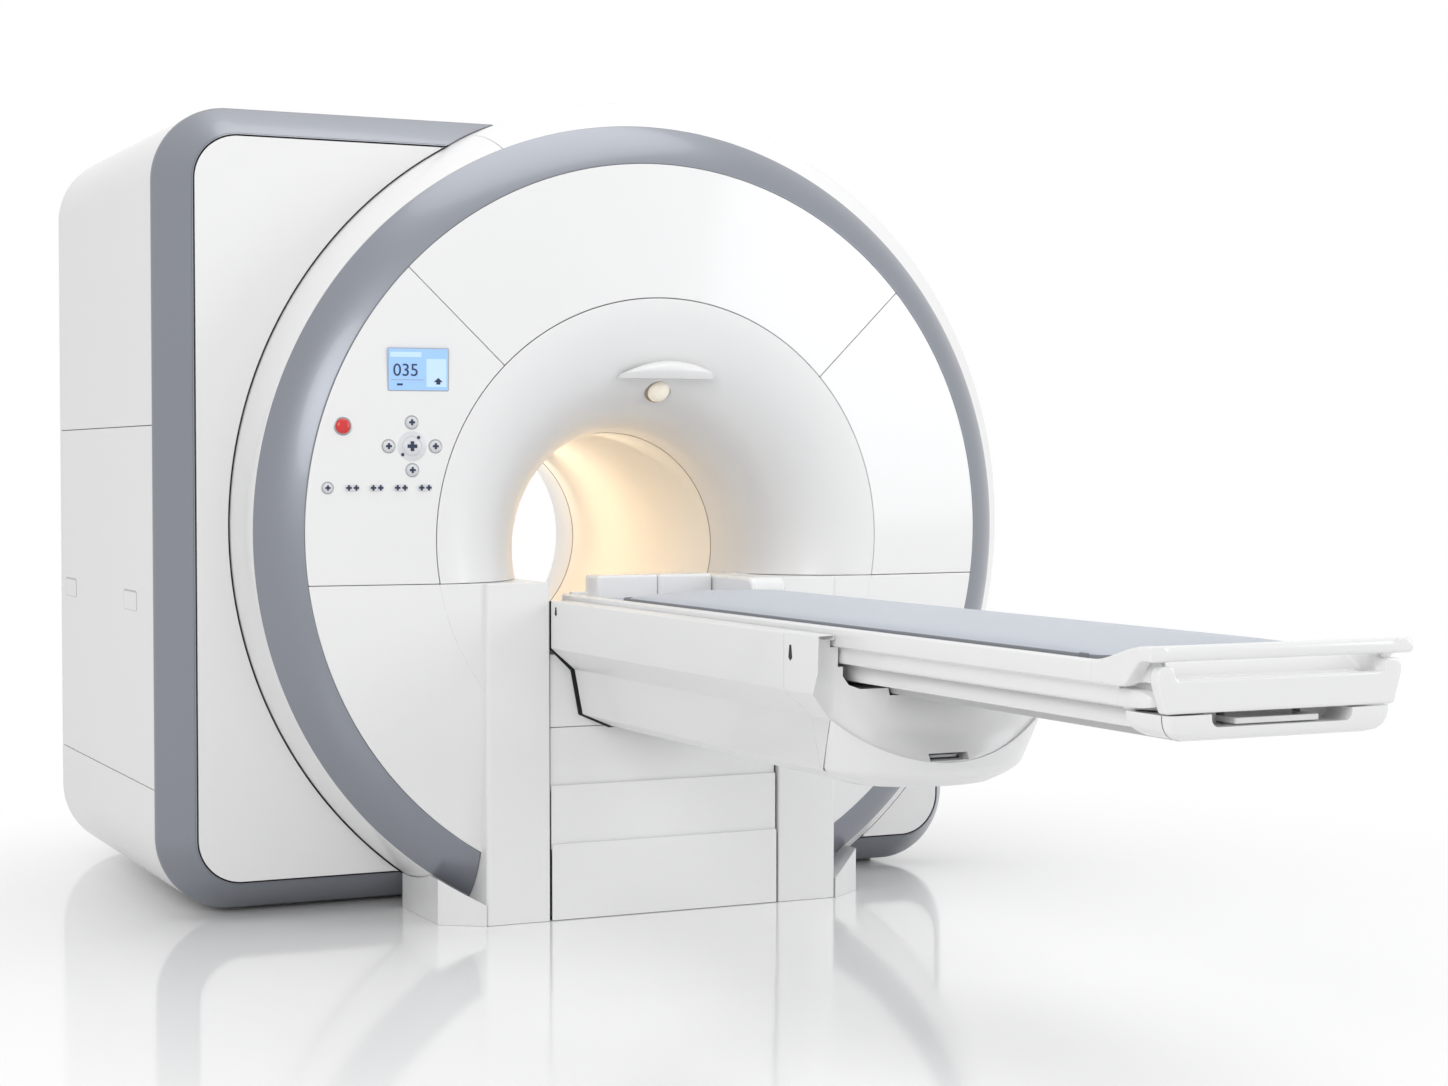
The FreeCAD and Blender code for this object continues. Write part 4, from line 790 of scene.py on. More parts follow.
class SCANNER_OT_housing(bpy.types.Operator):
    """Make the covers of the housing's top, sides, floor and rear, and the finger grips"""
    bl_idname = "scanner.housing"
    bl_label = "Housing covers"

    def execute(self, context):
        looks = finishes()
        sizes = context.scene.scanner_sizes
        table, _, heights = outline_table(0.0)
        left_side = (table >= 0.15) & (table <= 0.55)
        right_side = (table >= 0.75) & (table <= 1.0)

        def left_at(z):
            """Share of the outline at a height on the left side, where the height falls along it."""
            return np.interp(-z, -heights[left_side], table[left_side])

        def right_at(z):
            """Share of the outline at a height on the right side."""
            return np.interp(z, heights[right_side], table[right_side])

        # shares of the outline between the seams; the floor's seam lies under the bore
        left_run, right_run = -HOUSING[0] - CORNER, HOUSING[1] - CORNER
        under = 0.55 + 0.20 * left_run / (left_run + right_run)
        low, high, half = *SPLITS, GAP / 2
        spans = {
            "upper_cover": (right_at(high + half), 1 + left_at(high + half), 260),
            "left_cover": (left_at(high - half), left_at(low + half), 40),
            "right_cover": (right_at(low + half), right_at(high - half), 60),
            "left_lower_cover": (left_at(low - half), under - 0.0002, 90),
            "right_lower_cover": (under + 0.0002, right_at(low - half), 90),
        }
        for node, (start, end, columns) in spans.items():
            points = self.skin(*on_outline(0.0, np.linspace(start, end, columns)))
            parts = [thick_sheet(points, sizes.cover_wall, np.array([0, 1.1, 1.0]) - points)]
            piece(node + "_skin", parts, looks["shell"], "scanner", [node], bevel=sizes.cover_edge)
        for word, side, wall in (("left", -1, HOUSING[0]), ("right", 1, HOUSING[1])):
            self.grips(looks, word, side, wall)
        self.rear(looks, sizes.cover_wall)
        return {"FINISHED"}

    def skin(self, x, z):
        """Straight lines back from where each place of the outline comes clear of the flank to the rear's seam."""
        trial = np.linspace(0.4615, TAIL[0], 160)[:, None]
        radius, across, height = flank_circle(trial)
        blocked = np.hypot(x - across, z - height) < radius + GAP
        last = np.where(blocked.any(axis=0), blocked.shape[0] - 1 - np.argmax(blocked[::-1], axis=0), 0)
        begin = trial[last, 0]
        depth = begin + (REAR - REAR_ROUND - GAP - begin) * np.linspace(0, 1, 24)[:, None]
        return np.stack(np.broadcast_arrays(x, depth, z), -1)

    def rear(self, looks, wall):
        """The outline drawn in over a quarter turn, then straight lines to the rear mouth's circle."""
        columns, rounds = 360, 16
        share = np.linspace(0, 1, columns, endpoint=False)
        rows = []
        for turn in np.linspace(0, math.pi / 2, rounds):
            x, z = on_outline(REAR_ROUND * (1 - math.cos(turn)), share)
            rows.append(np.stack([x, np.full(columns, REAR - REAR_ROUND + REAR_ROUND * math.sin(turn)), z], -1))
        ray = rays(x, z, (0, AXIS))
        ring = np.stack([0.5205 * ray[:, 0], np.full(columns, REAR), AXIS + 0.5205 * ray[:, 1]], -1)
        edge = rows[-1]
        rows += [edge * (1 - run) + ring * run for run in np.linspace(0, 1, 12)[1:]]
        points = np.array(rows)
        piece("rear_skin", [thick_sheet(points, wall, np.array([0, 1.1, 1.0]) - points, ring=True)],
              looks["shell"], "scanner", ["rear_cover"], bevel=0.0015, sharp=60)

    def grips(self, looks, word, side, wall):
        """Finger grips: a pale plate in a grey rim, which is wider above and behind it as painted shade on the
        recess's upper and rear edges.
        """
        for number, y in enumerate(GRIPS):
            # painted shade: the grey rim is wider above and behind the cup, for the shaded upper and rear edges of
            # the recess
            rim = softened(oblong(y - 0.075, y + 0.075, 0.749, 0.801), 0.012)
            cup = softened(oblong(y - 0.0735, y + 0.0710, 0.7505, 0.7965), 0.010)
            piece(f"grip_{word}_{number}", [extrusion(rim, 0, wall + side * 0.0006, wall - side * 0.004)],
                  looks["bezel"], "scanner", slot="dark_plastic", bevel=0.0004)
            piece(f"grip_cup_{word}_{number}", [extrusion(cup, 0, wall + side * 0.0010, wall - side * 0.003)],
                  looks["shell"], "scanner", bevel=0.0004)


# ------------------------------------------------------------------ pedestal

class SCANNER_OT_pedestal(bpy.types.Operator):
    """Make the telescoping sheets between the pillars, and dress the plinths, feet and inner parts"""
    bl_idname = "scanner.pedestal"
    bl_label = "Pedestal sheets"

    def execute(self, context):
        looks = finishes()
        half, wall, edge = 0.308, 0.005, 0.0014
        sheets = {
            "kick_panel_lower": ("scanner", -0.013, 0.001, 0.1885),
            "kick_panel_middle": ("middle_panel", -0.006, 0.175, 0.3325),
            "apron_lower": ("table_lift", 0.001, 0.319, 0.4745),
        }
        for node, (body, y, low, high) in sheets.items():
            piece(node + "_sheet", [extrusion(oblong(-half, half, low, high), 1, y, y + wall)], looks["shell"],
                  body, [node], bevel=edge)
        low, notch_low, high, notch = 0.476, 0.517, 0.655, 0.198
        notched = [(-half, low), (half, low), (half, high), (notch, high), (notch, notch_low),
                   (-notch, notch_low), (-notch, high), (-half, high)]
        piece("apron_upper_sheet", [extrusion(notched, 1, 0.001, 0.001 + wall)], looks["shell"], "table_lift",
              ["apron_upper"], bevel=edge)
        # painted shade: dark linings behind the gaps beside the pillars, and round the beam where it leaves the
        # apron, standing in for the shade in those gaps
        gap_shades = [extrusion([(side * x, y) for x, y in oblong(0.3086, 0.3136, 0.008, 0.012)], 2, 0.001,
                             SHELF - 0.004) for side in (-1, 1)]
        piece("pillar_gap_painted_shade", gap_shades, looks["dark"], "scanner", slot="dark_plastic")
        outer = [(0.3115, 0.786), (0.3115, 0.670), (0.2545, 0.6145), (0.2335, 0.5045), (0.1535, 0.4695)]
        inner = [(0.3045, 0.786), (0.3045, 0.6760), (0.2440, 0.6230), (0.2230, 0.5130), (0.1500, 0.4810)]
        piece("beam_rim_painted_shade", [extrusion(mirrored_band(outer, inner), 1, -0.0008, 0.0008)], looks["dark"],
              "table_lift", slot="dark_plastic")
        for look, nodes in (("shell", ["plinths"]), ("rubber", ["levelling_feet"]),
                            ("steel", ["lift_base", "cold_head"]), ("vessel", ["cryostat_vessel"]),
                            ("cast", ["lift_carriage", "carriage_frame", "slide_drive"]),
                            ("resin", ["gradient_coil", "body_coil"])):
            dress(nodes, looks[look])
        return {"FINISHED"}


# ------------------------------------------------------------------ table

def step_level(x):
    """Height of the step between cap and scoop: its lowest level plus the rise of a circle's arc."""
    reach = np.minimum(np.abs(x), STEP_HALF)
    return STEP_LOW + STEP_RADIUS - np.sqrt(STEP_RADIUS ** 2 - reach ** 2)


class SCANNER_OT_beam(bpy.types.Operator):
    """Make the folded covers of the table's beam, its tip with the scoop, the belly pan and the marks"""
    bl_idname = "scanner.beam"
    bl_label = "Beam and belly"

    def execute(self, context):
        looks = finishes()
        fold = context.scene.scanner_sizes.beam_edge
        for side, word in ((-1, "left"), (1, "right")):
            section = softened(self.section(side), [fold] * 5 + [0] * 7 + [0.001] * 2, 4)
            piece(f"beam_skin_{word}", [extrusion(section, 1, -1.268, -0.016)], looks["shell"], "table_lift",
                  [f"beam_cover_{word}"], bevel=0.0016)
        # tip: a folded wall whose far end follows the slope, its inner edge set back behind the throat
        outer = [(0.312, 0.788), (0.312, 0.715), (0.312, 0.672), (0.250, 0.618), (0.229, 0.507), (0.152, 0.474)]
        inner = [(0.264, 0.788), (0.264, 0.778), (0.302, 0.778), (0.302, 0.6765), (0.240, 0.623), (0.219, 0.513),
                 (0.150, 0.484)]
        inner_points = 2 * len(inner)
        section = softened(mirrored_band(outer, inner), [0.002] + [fold] * 10 + [0.002] + [0] * inner_points, 4)
        reach = np.interp(section[:, 1], *BEAM_TIP)
        reach[-inner_points:] += 0.022
        piece("beam_tip", [extrusion(section, 1, BEAM_END, reach)], looks["shell"], "table_lift",
              ["beam_end_cover"], bevel=0.0012)
        # painted shade: the seam between skins and tip gets a dark strip just inside them, standing in for the
        # shade in the gap
        outer = [(0.3098, 0.786), (0.3098, 0.6735), (0.2482, 0.6197), (0.2272, 0.5090), (0.1510, 0.4763)]
        inner = [(0.3055, 0.786), (0.3055, 0.6755), (0.2445, 0.6225), (0.2235, 0.5125), (0.1500, 0.4805)]
        piece("beam_seam", [extrusion(mirrored_band(outer, inner), 1, BEAM_END - 0.0005, BEAM_END + 0.0035)],
              looks["dark"], "table_lift", slot="dark_plastic")
        self.throat(looks)
        self.belly(looks)
        self.marks(looks)
        return {"FINISHED"}

    def section(self, side):
        """Half of the beam's shell: the folded outside down one side, and back up inside the wall."""
        wall, inside, top, low, middle = 0.006, 0.264, 0.788, 0.474, GAP / 2
        back = [(middle, low + wall), (0.152 - 0.0014, low + wall), (0.229 - wall, 0.511), (0.250 - wall, 0.621),
                (0.312 - wall, 0.6747), (0.312 - wall, top - wall), (inside, top - wall), (inside, top)]
        return [(side * x, z) for x, z in BEAM_SIDE + [(middle, low)] + back]

    def throat_depth(self, x, z):
        """Depth of the scooped face: the tip's slope at its outer edge, the bowl's edge just above the arc, and
        an upright plane further up, joined by a quarter sine from the arc and an inverted square from the edge."""
        half = np.interp(z, [CAP_TOP, 0.672], [0.2505, 0.3122])
        share = np.clip((half - np.abs(x)) / 0.062, 0, 1)
        ease = 1 - (1 - share) ** 2
        slope = np.interp(np.maximum(z, CAP_TOP), *BEAM_TIP)
        arc = step_level(x)
        turn, reach, wide = (np.interp(arc, CAP_LEVELS, table) for table in (CAP_TURN, CAP_REACH, CAP_HALF))
        bowl = 0.0075 - turn - reach * np.sqrt(np.clip(1 - (x / wide) ** 2, 0, 1))
        rise = np.sin(np.clip((z - arc) / 0.075, 0, 1) * math.pi / 2)
        upright = bowl * (1 - rise) - (1.3640 + 0.06 * np.maximum(z - 0.60, 0)) * rise
        return slope * (1 - ease) + upright * ease

    def throat(self, looks):
        """The scooped face round the channel, the channel's wall, and the latch's recess with a dark plate of
        painted shade at its back.
        """
        side = [(0.3118, 0.6725), (0.3118, 0.7875), (0.264, 0.7875), (0.264, 0.7625), (0.2445, 0.7625),
                (0.2445, 0.7225), (0.2325, 0.7225), (0.2325, 0.704), (0.2190, 0.6860), (0.1920, 0.6765),
                (0.1285, 0.6765), (0.1245, 0.6615)]
        channel = mirrored([(x, min(z, 0.780)) for x, z in side[2:]])
        outside = [(x + math.copysign(0.002, x), z - 0.002) for x, z in channel]
        piece("beam_channel", [extrusion(channel + outside[::-1], 1, -1.3668, BEAM_END)], looks["shell"],
              "table_lift")
        x = np.linspace(-STEP_HALF, STEP_HALF, 61)
        arc = np.column_stack([x, step_level(x) - 0.001]).tolist()
        face = piece("beam_throat", [extrusion(arc + mirrored(side), 1, 0.0, 1.0)], looks["shell"], "table_lift")
        self.scoop(face.data)
        half, low, high, deep = RECESS
        # painted shade: a dark plate at the back of the latch's recess, where its shade falls
        recess_shade = oblong(0.0005 - half, half - 0.0005, low + 0.0003, high - 0.0003)
        piece("latch_recess_painted_shade", [extrusion(recess_shade, 1, deep - 0.0025, deep - 0.0005)], looks["dark"], "table_lift",
              slot="dark_plastic")
        dress(["belly_latch"], looks["key"])

    def scoop(self, mesh):
        """Cut the flat plate into small cells, draw its front to the scoop's depth and its back to one wall
        behind, and sink the cells of the recess to its floor."""
        half, low, high, deep = RECESS
        cell, wall = 0.006, 0.006
        cuts = [((v, 0, 0), (1, 0, 0)) for v in np.append(np.arange(-0.306, 0.31, cell), [-half, half])]
        cuts += [((0, 0, v), (0, 0, 1)) for v in np.append(np.arange(0.530, 0.786, cell), [low, high])]
        shape = bmesh.new()
        shape.from_mesh(mesh)
        for place, normal in cuts:
            everything = shape.verts[:] + shape.edges[:] + shape.faces[:]
            bmesh.ops.bisect_plane(shape, geom=everything, dist=1e-6, plane_co=place, plane_no=normal)
        shape.to_mesh(mesh)

        points = points_of(mesh)
        depth = self.throat_depth(points[:, 0], points[:, 2])
        points[:, 1] = np.where(points[:, 1] > 0.5, depth + wall, depth)
        mesh.vertices.foreach_set("co", points.ravel())

        middle = np.empty(len(mesh.polygons) * 3)
        mesh.polygons.foreach_get("center", middle)
        x, y, z = middle.reshape(-1, 3).T
        inside = (np.abs(x) < half) & (low < z) & (z < high)
        front = y < self.throat_depth(x, z) + wall / 2
        shape.clear()
        shape.from_mesh(mesh)
        shape.faces.ensure_lookup_table()
        faces = [shape.faces[i] for i in np.flatnonzero(inside & front)]
        behind = [shape.faces[i] for i in np.flatnonzero(inside & ~front)]
        moved = bmesh.ops.extrude_face_region(shape, geom=faces)["geom"]
        bmesh.ops.delete(shape, geom=faces + behind, context="FACES")
        floor = [item for item in moved if isinstance(item, bmesh.types.BMVert)]
        bmesh.ops.scale(shape, vec=(1, 0, 1), space=Matrix.Translation((0, -deep, 0)), verts=floor)
        shape.normal_update()
        shape.to_mesh(mesh)
        shape.free()
        mesh.shade_smooth()
        mesh.set_sharp_from_angle(angle=math.radians(34))

    def belly(self, looks):
        """The cap below the tip: half an ellipse at each height, drawn in towards the keel, up to a curved
        step; a ledge from the step to the scooped face, and back down along the tip's slope. The step's height
        and the cap's width there depend on each other, and are found in twelve rounds."""
        level = np.linspace(CAP_LOW, CAP_TOP, 200)
        kernel = np.hanning(31) / np.hanning(31).sum()

        def smooth(table):
            """The table at every level, averaged over its neighbours with a cosine's weights."""
            wide = np.pad(np.interp(level, CAP_LEVELS, table), 15, mode="reflect", reflect_type="odd")
            return np.convolve(wide, kernel, mode="valid")

        half, turn, reach = smooth(CAP_HALF), smooth(CAP_TURN), smooth(CAP_REACH)

        def half_at(z):
            """Half the cap's width at a height."""
            return np.interp(z, level, half)

        def slope(z):
            """Depth of the tip's slope at a height, less the gap."""
            return np.interp(z, *BEAM_TIP) - GAP

        around = np.linspace(0.0, math.pi, 181)
        top = np.full_like(around, 0.60)
        for _ in range(12):
            top = step_level(half_at(top) * np.cos(around))
        share = np.sin(np.linspace(0, math.pi / 2, 40))[:, None] ** 1.2
        z = CAP_LOW + (top - CAP_LOW) * share
        x = -half_at(z) * np.cos(around)
        y = np.minimum(-np.interp(z, level, turn) - np.interp(z, level, reach) * np.sin(around), slope(z))
        inner = np.maximum(y[-1], self.throat_depth(x[-1], top) + 0.003)
        ledge = np.stack([np.stack([x[-1], y[-1] + (inner - y[-1]) * s, top], -1) for s in (0.1, 0.9, 1.0)])
        down = top + (CAP_LOW - top) * np.linspace(0, 1, 12)[:, None]
        back = np.stack([x[-1] * half_at(down) / half_at(top), slope(down), down], -1)
        front = np.stack([x, y, z], -1)
        piece("belly_shell", [grid(np.concatenate([front, ledge, back, front[:1]]))], looks["shell"],
              "table_lift", ["belly_pan"], sharp=36, bevel=0.0018)

    def marks(self, looks):
        """Keyhole marks on the beam's side, each a thin dark inlay."""
        places = ((-0.048, 0.763, 0.007, 0.011), (-1.2985, 0.748, 0.008, 0.016))
        for number, (y, z, half, tall) in enumerate(places):
            loop = [(y - half * 0.5, z + tall), (y + half * 0.5, z + tall), (y + half, z - tall * 0.6),
                    (y, z - tall), (y - half, z - tall * 0.6)]
            piece(f"beam_mark_{number}", [extrusion(softened(loop, 0.001, 2), 0, -0.3125, -0.3110)],
                  looks["dark"], "table_lift", slot="dark_plastic")


class SCANNER_OT_tabletop(bpy.types.Operator):
    """Make the sliding tray, the head block and the coil socket"""
    bl_idname = "scanner.tabletop"
    bl_label = "Tabletop"

    def execute(self, context):
        looks = finishes()
        # tray: one section along its length, and a rounded rim carried across its head end
        half = [(0.236, TRAY_TOP), (0.240, 0.799), (0.244, 0.802), (0.253, 0.802), (0.258, 0.798), (0.258, 0.766),
                (0.255, 0.7635), (0.240, 0.761), (0.2385, 0.757), (0.2385, 0.733), (0.236, 0.729), (0.208, 0.724),
                (0.200, 0.6905), (0.125, 0.6905), (0.118, 0.6645)]
        rim = softened([(0.030, TRAY_TOP), (0.030, 0.806), (0.058, 0.806), (0.0595, 0.776), (0.046, 0.764),
                        (0.046, TRAY_TOP)], [0, 0.006, 0.010, 0.006, 0, 0], 4)
        parts = [extrusion(softened(mirrored(half), 0.0022, 2), 1, -2.330, 0.046), extrusion(rim, 0, -0.236, 0.236)]
        piece("tray_shell", parts, looks["tray"], "tabletop", ["tray"], "tray_shell", bevel=0.003)
        # painted shade: the keel under the tray takes the darker copy of the shell
        keel = softened(mirrored([(0.1995, 0.7235), (0.1995, 0.6902), (0.126, 0.6902), (0.118, 0.6645)]), 0.002, 2)
        piece("tray_keel", [extrusion(keel * [1.001, 1], 1, -2.3298, 0.0458)], looks["keel"], "tabletop",
              slot="tray_shell", bevel=0.001)
        # head end: a block with its lid, and the coil's socket with a long round back
        for name, nodes, left, right in (("head_block_shell", ["head_block"], -0.195, -0.031),
                                         ("head_block_lid", [], -0.0295, 0.118)):
            plan = softened(oblong(left, right, -0.030, 0.052), 0.008)
            piece(name, [extrusion(plan, 2, TRAY_TOP, 0.848)], looks["tray"], "tabletop", nodes, bevel=0.010,
                  steps=5)
        side = softened(oblong(-0.250, 0.052, TRAY_TOP, 0.846), [0, 0, 0.010, 0.046], 9)
        piece("coil_socket_shell", [extrusion(side, 0, 0.121, 0.215)], looks["tray"], "tabletop",
              ["coil_socket"], bevel=0.016, steps=6)
        return {"FINISHED"}


class SCANNER_OT_mattress(bpy.types.Operator):
    """Make the mattress: a crowned pad, blown up a little by cloth simulation, with a welt and a pull tab"""
    bl_idname = "scanner.mattress"
    bl_label = "Mattress"

    def execute(self, context):
        looks = finishes()
        sizes = context.scene.scanner_sizes
        half = 0.2315
        body = self.pad(-half, half, -2.268, -0.266, 0.7785, 0.806, sizes.pad_crown)
        thin = self.pad(-half, half, -0.300, -0.256, 0.7780, 0.7905, 0.0)
        head = self.pad(-half, 0.1175, -0.300, -0.036, 0.7780, 0.7905, 0.0)
        pad = piece("mattress_pad", [body, thin, head], looks["pad"], "tabletop", ["mattress"],
                    "mattress_cover", sharp=80)
        self.blow_up(pad, sizes.pad_voxel)
        self.welt(looks)
        return {"FINISHED"}

    def welt(self, looks):
        """The sewn edge, darkened partly as painted shade along the pad's edge: a small oval carried round the
        pad's outline, and the pull tab at its corner.
        """
        path = softened(oblong(-0.2335, 0.2335, -2.269, -0.2635), 0.030, 10)
        along = np.roll(path, -1, axis=0) - np.roll(path, 1, axis=0)
        along /= np.linalg.norm(along, axis=1, keepdims=True)
        side = np.stack([-along[:, 1], along[:, 0]], -1)
        turn = np.linspace(0, 2 * math.pi, 12, endpoint=False)
        wide, tall = 0.0028 * np.cos(turn), 0.0072 * np.sin(turn)
        flat = path[:, None] + wide[None, :, None] * side[:, None]
        height = np.broadcast_to(0.7995 + tall[None, :, None], (*flat.shape[:2], 1))
        points = np.concatenate([flat, height], -1)
        points = np.concatenate([points, points[:1]])
        faces = grid_faces(*points.shape[:2], ring=True).tolist()
        piece("mattress_welt", [(points.reshape(-1, 3), faces)], looks["welt"], "tabletop", slot="mattress_cover",
              sharp=80)
        tab = softened(oblong(-2.236, -2.208, 0.800, 0.8085), 0.004, 4)
        piece("mattress_tab", [extrusion(tab, 0, -0.2375, -0.2325)], looks["welt"], "tabletop",
              slot="mattress_cover", bevel=0.0012)

    def pad(self, left, right, near, far, low, high, crown):
        """A crowned closed form: half thickness falls off as a high power near each side, and the top also
        rises as a parabola across the middle. Columns and rows crowd towards the edges by a power below one."""
        columns, rows = 61, 241
        s = np.linspace(-1, 1, columns)[None, :]
        t = np.linspace(-1, 1, rows)[:, None]
        s, t = np.sign(s) * np.abs(s) ** 0.7, np.sign(t) * np.abs(t) ** 0.5
        thick = (1 - np.abs(s) ** 14) ** 0.4 * (1 - np.abs(t) ** 60) ** 0.4 * (high - low) / 2
        rise = crown * (1 - s ** 2) * (1 - np.abs(t) ** 24)
        x = (left + right) / 2 + (right - left) / 2 * s
        y = (near + far) / 2 + (far - near) / 2 * t
        middle = (low + high) / 2
        top = np.stack(np.broadcast_arrays(x, y, middle + thick + rise), -1)
        under = np.stack(np.broadcast_arrays(x, y, middle - thick), -1)
        faces = grid_faces(rows, columns)
        return (np.concatenate([top.reshape(-1, 3), under.reshape(-1, 3)]),
                np.concatenate([faces, faces[:, ::-1] + rows * columns]).tolist())

    def blow_up(self, pad, voxel):
        """Remesh evenly, blow up with cloth pressure for fourteen frames, and keep each point's move below the
        limit, the pad's sides within the tray and its underside on it."""
        frames, limit, side, floor = 14, 0.004, 0.2345, 0.7776
        scene = bpy.context.scene
        remesh = pad.modifiers.new("even", "REMESH")
        remesh.mode = "VOXEL"
        remesh.voxel_size = voxel
        mesh = baked(pad)
        start = points_of(mesh)
        cloth = pad.modifiers.new("blow", "CLOTH")
        cloth.settings.quality = 4
        cloth.settings.use_pressure = True
        cloth.settings.uniform_pressure_force = 3.0
        cloth.settings.effector_weights.gravity = 0
        cloth.settings.tension_stiffness = 25
        cloth.settings.bending_stiffness = 3
        cloth.point_cache.frame_start = 1
        cloth.point_cache.frame_end = frames
        for number in range(1, frames + 1):
            scene.frame_set(number)
        mesh = baked(pad)
        move = points_of(mesh) - start
        size = np.linalg.norm(move, axis=1, keepdims=True)
        result = start + move * np.minimum(1, limit / np.maximum(size, 1e-9))
        result[:, 0] = np.clip(result[:, 0], -side, side)
        result[:, 2] = np.maximum(result[:, 2], floor)
        mesh.vertices.foreach_set("co", result.ravel())
        mesh.update()
        scene.frame_set(1)
        mesh.shade_smooth()
        if not mesh.materials:
            mesh.materials.append(finishes()["pad"])


class SCANNER_OT_foot_end(bpy.types.Operator):
    """Make the grab handle with its loop, the box under it and the release bar"""
    bl_idname = "scanner.foot_end"
    bl_label = "Foot end"

    def execute(self, context):
        looks = finishes()
        self.handle(looks)
        self.box(looks)
        # release bar: a flat bow, open behind
        bow_half = [(-0.070, -2.422), (-0.070, -2.353), (-0.085, -2.353), (-0.085, -2.436)]
        pull = softened(mirrored(bow_half), [0.004, 0, 0, 0.004, 0.004, 0, 0, 0.004], 3)
        piece("release_pull", [extrusion(pull, 2, 0.702, 0.712)], looks["tray"], "release", ["release_bar"],
              bevel=0.0015)
        return {"FINISHED"}

    def handle(self, looks):
        """Rounded forms that overlap, joined by an even remesh and eased: the front slab, the neck behind it,
        the deck, the cheeks, the walls inside them and the bar. The tips of the side bands stay apart."""
        slab = [(-0.230, 0.7235), (0.230, 0.7235), (0.2470, 0.7790), (0.2430, 0.8010), (0.2140, 0.8010),
                (0.2100, 0.7785), (-0.2100, 0.7785), (-0.2140, 0.8010), (-0.2430, 0.8010), (-0.2470, 0.7790)]
        slab = softened(slab, [0.004, 0.004, 0.010, 0.012, 0.008, 0.008, 0.008, 0.008, 0.012, 0.010], 6)
        neck = mirrored([(-0.236, TRAY_FOOT), (-0.204, -2.384), (-0.204, -2.418), (-0.226, -2.440)])
        neck = softened(neck, [0, 0.03, 0.02, 0, 0, 0.02, 0.03, 0], 6)
        deck = softened([(TRAY_FOOT, 0.770), (TRAY_FOOT, 0.802), (-2.350, 0.802), (-2.381, 0.778),
                         (-2.381, 0.770)], [0, 0, 0.010, 0.004, 0], 4)
        bar = softened(oblong(-2.4515, -2.4245, 0.8075, 0.8335), [0.008, 0.006, 0.010, 0.012], 6)
        parts = [extrusion(slab, 1, -2.4495, -2.424), extrusion(neck, 2, 0.7235, 0.776),
                 extrusion(deck, 0, -0.240, 0.240), extrusion(bar, 0, -0.256, 0.2695)]
        cheek = self.cheek()
        outside = 0.2584 + 0.0031 * np.clip((-2.290 - cheek[:, 0]) / 0.080, 0, 1)
        for side in (-1, 1):
            parts.append(extrusion(cheek, 0, side * 0.232, side * outside))
            wall = [(side * x, y) for x, y in ((0.212, TRAY_FOOT), (0.212, -2.424), (0.222, -2.424),
                                               (0.236, TRAY_FOOT))]
            parts.append(extrusion(softened(wall, 0.002, 2), 2, 0.770, 0.812))
        handle = piece("grab_handle", parts, looks["tray"], "tabletop", ["foot_handle"], sharp=60)
        remesh = handle.modifiers.new("fuse", "REMESH")
        remesh.mode = "VOXEL"
        remesh.voxel_size = 0.0024
        mesh = baked(handle)
        shape = bmesh.new()
        shape.from_mesh(mesh)
        for _ in range(6):
            bmesh.ops.smooth_vert(shape, verts=shape.verts, factor=0.5, use_axis_x=True, use_axis_y=True,
                                  use_axis_z=True)
        shape.to_mesh(mesh)
        shape.free()
        mesh.shade_smooth()
        mesh.materials.clear()
        mesh.materials.append(looks["tray"])
        piece("band_ends", [self.band_end(side) for side in (-1, 1)], looks["tray"], "tabletop",
              slot="tray_shell", sharp=50)

    def cheek(self):
        """The cheek seen from the side: its top and its underside each climb towards the bar by a smooth step."""
        climb = np.linspace(-2.2740, -2.4505, 60)
        upper = 0.8025 + 0.0305 * eased((-2.2740 - climb) / 0.160)
        under = 0.7635 + 0.0445 * eased((-2.362 - climb) / 0.062)
        return np.concatenate([np.stack([climb, upper], -1), np.stack([climb, under], -1)[::-1]])

    def band_end(self, side):
        """The tip of a side band: its section drawn in to its centre as the fourth power of the way along."""
        along = np.linspace(0, 1, 14)
        taper = np.sqrt(1 - along ** 4)[:, None, None]
        band = np.array([(0.200, 0.7275), (0.2360, 0.7290), (0.2385, 0.7330), (0.2385, 0.7560), (0.2360, 0.7590),
                         (0.200, 0.7600)])
        centre = np.array([0.210, 0.7345])
        flat = (centre + (band - centre) * taper) * [side, 1]
        depth = np.broadcast_to(-2.3255 - 0.084 * along[:, None], flat.shape[:2])
        return tube(np.stack([flat[..., 0], depth, flat[..., 1]], -1))

    def box(self, looks):
        """The box: a rounded oblong at each height, drawn in below by a quarter of a rounder ellipse, one minus
        the root of one minus the drop's power of 2.6, with a slot whose lower corners are round."""
        half, front, back, top = 0.228, -2.4495, -2.3310, 0.7212
        rings = []
        for drop in np.linspace(0, 1, 14):
            inset = 1 - np.sqrt(1 - drop ** 2.6)
            side = half - 0.040 * inset
            plan = softened(mirrored([(-side, back - 0.052 * inset), (-side, front + 0.010 * inset)]),
                            [0.003, 0.020, 0.020, 0.003], 8)
            rings.append(np.column_stack([plan, np.full(len(plan), top - 0.0420 * drop)]))
        rings = np.array(rings)
        box = piece("foot_box_shell", [tube(rings)], looks["tray"], "tabletop", ["foot_box"], sharp=50)
        low, high = 0.700, 0.730
        notches = [extrusion([(side * x, z) for x, z in oblong(0.069, 0.086, low, high)], 1, -2.400, -2.350)
                   for side in (-1, 1)]
        slot = softened(oblong(-0.142, 0.142, low, high), [0.016, 0.016, 0, 0], 8)
        for number, cutter in enumerate((*notches, extrusion(slot, 1, -2.470, -2.385))):
            self.cut(box, piece(f"slot_cutter_{number}", [cutter], looks["tray"], "tabletop"))
        box.data.shade_smooth()
        box.data.set_sharp_from_angle(angle=math.radians(40))
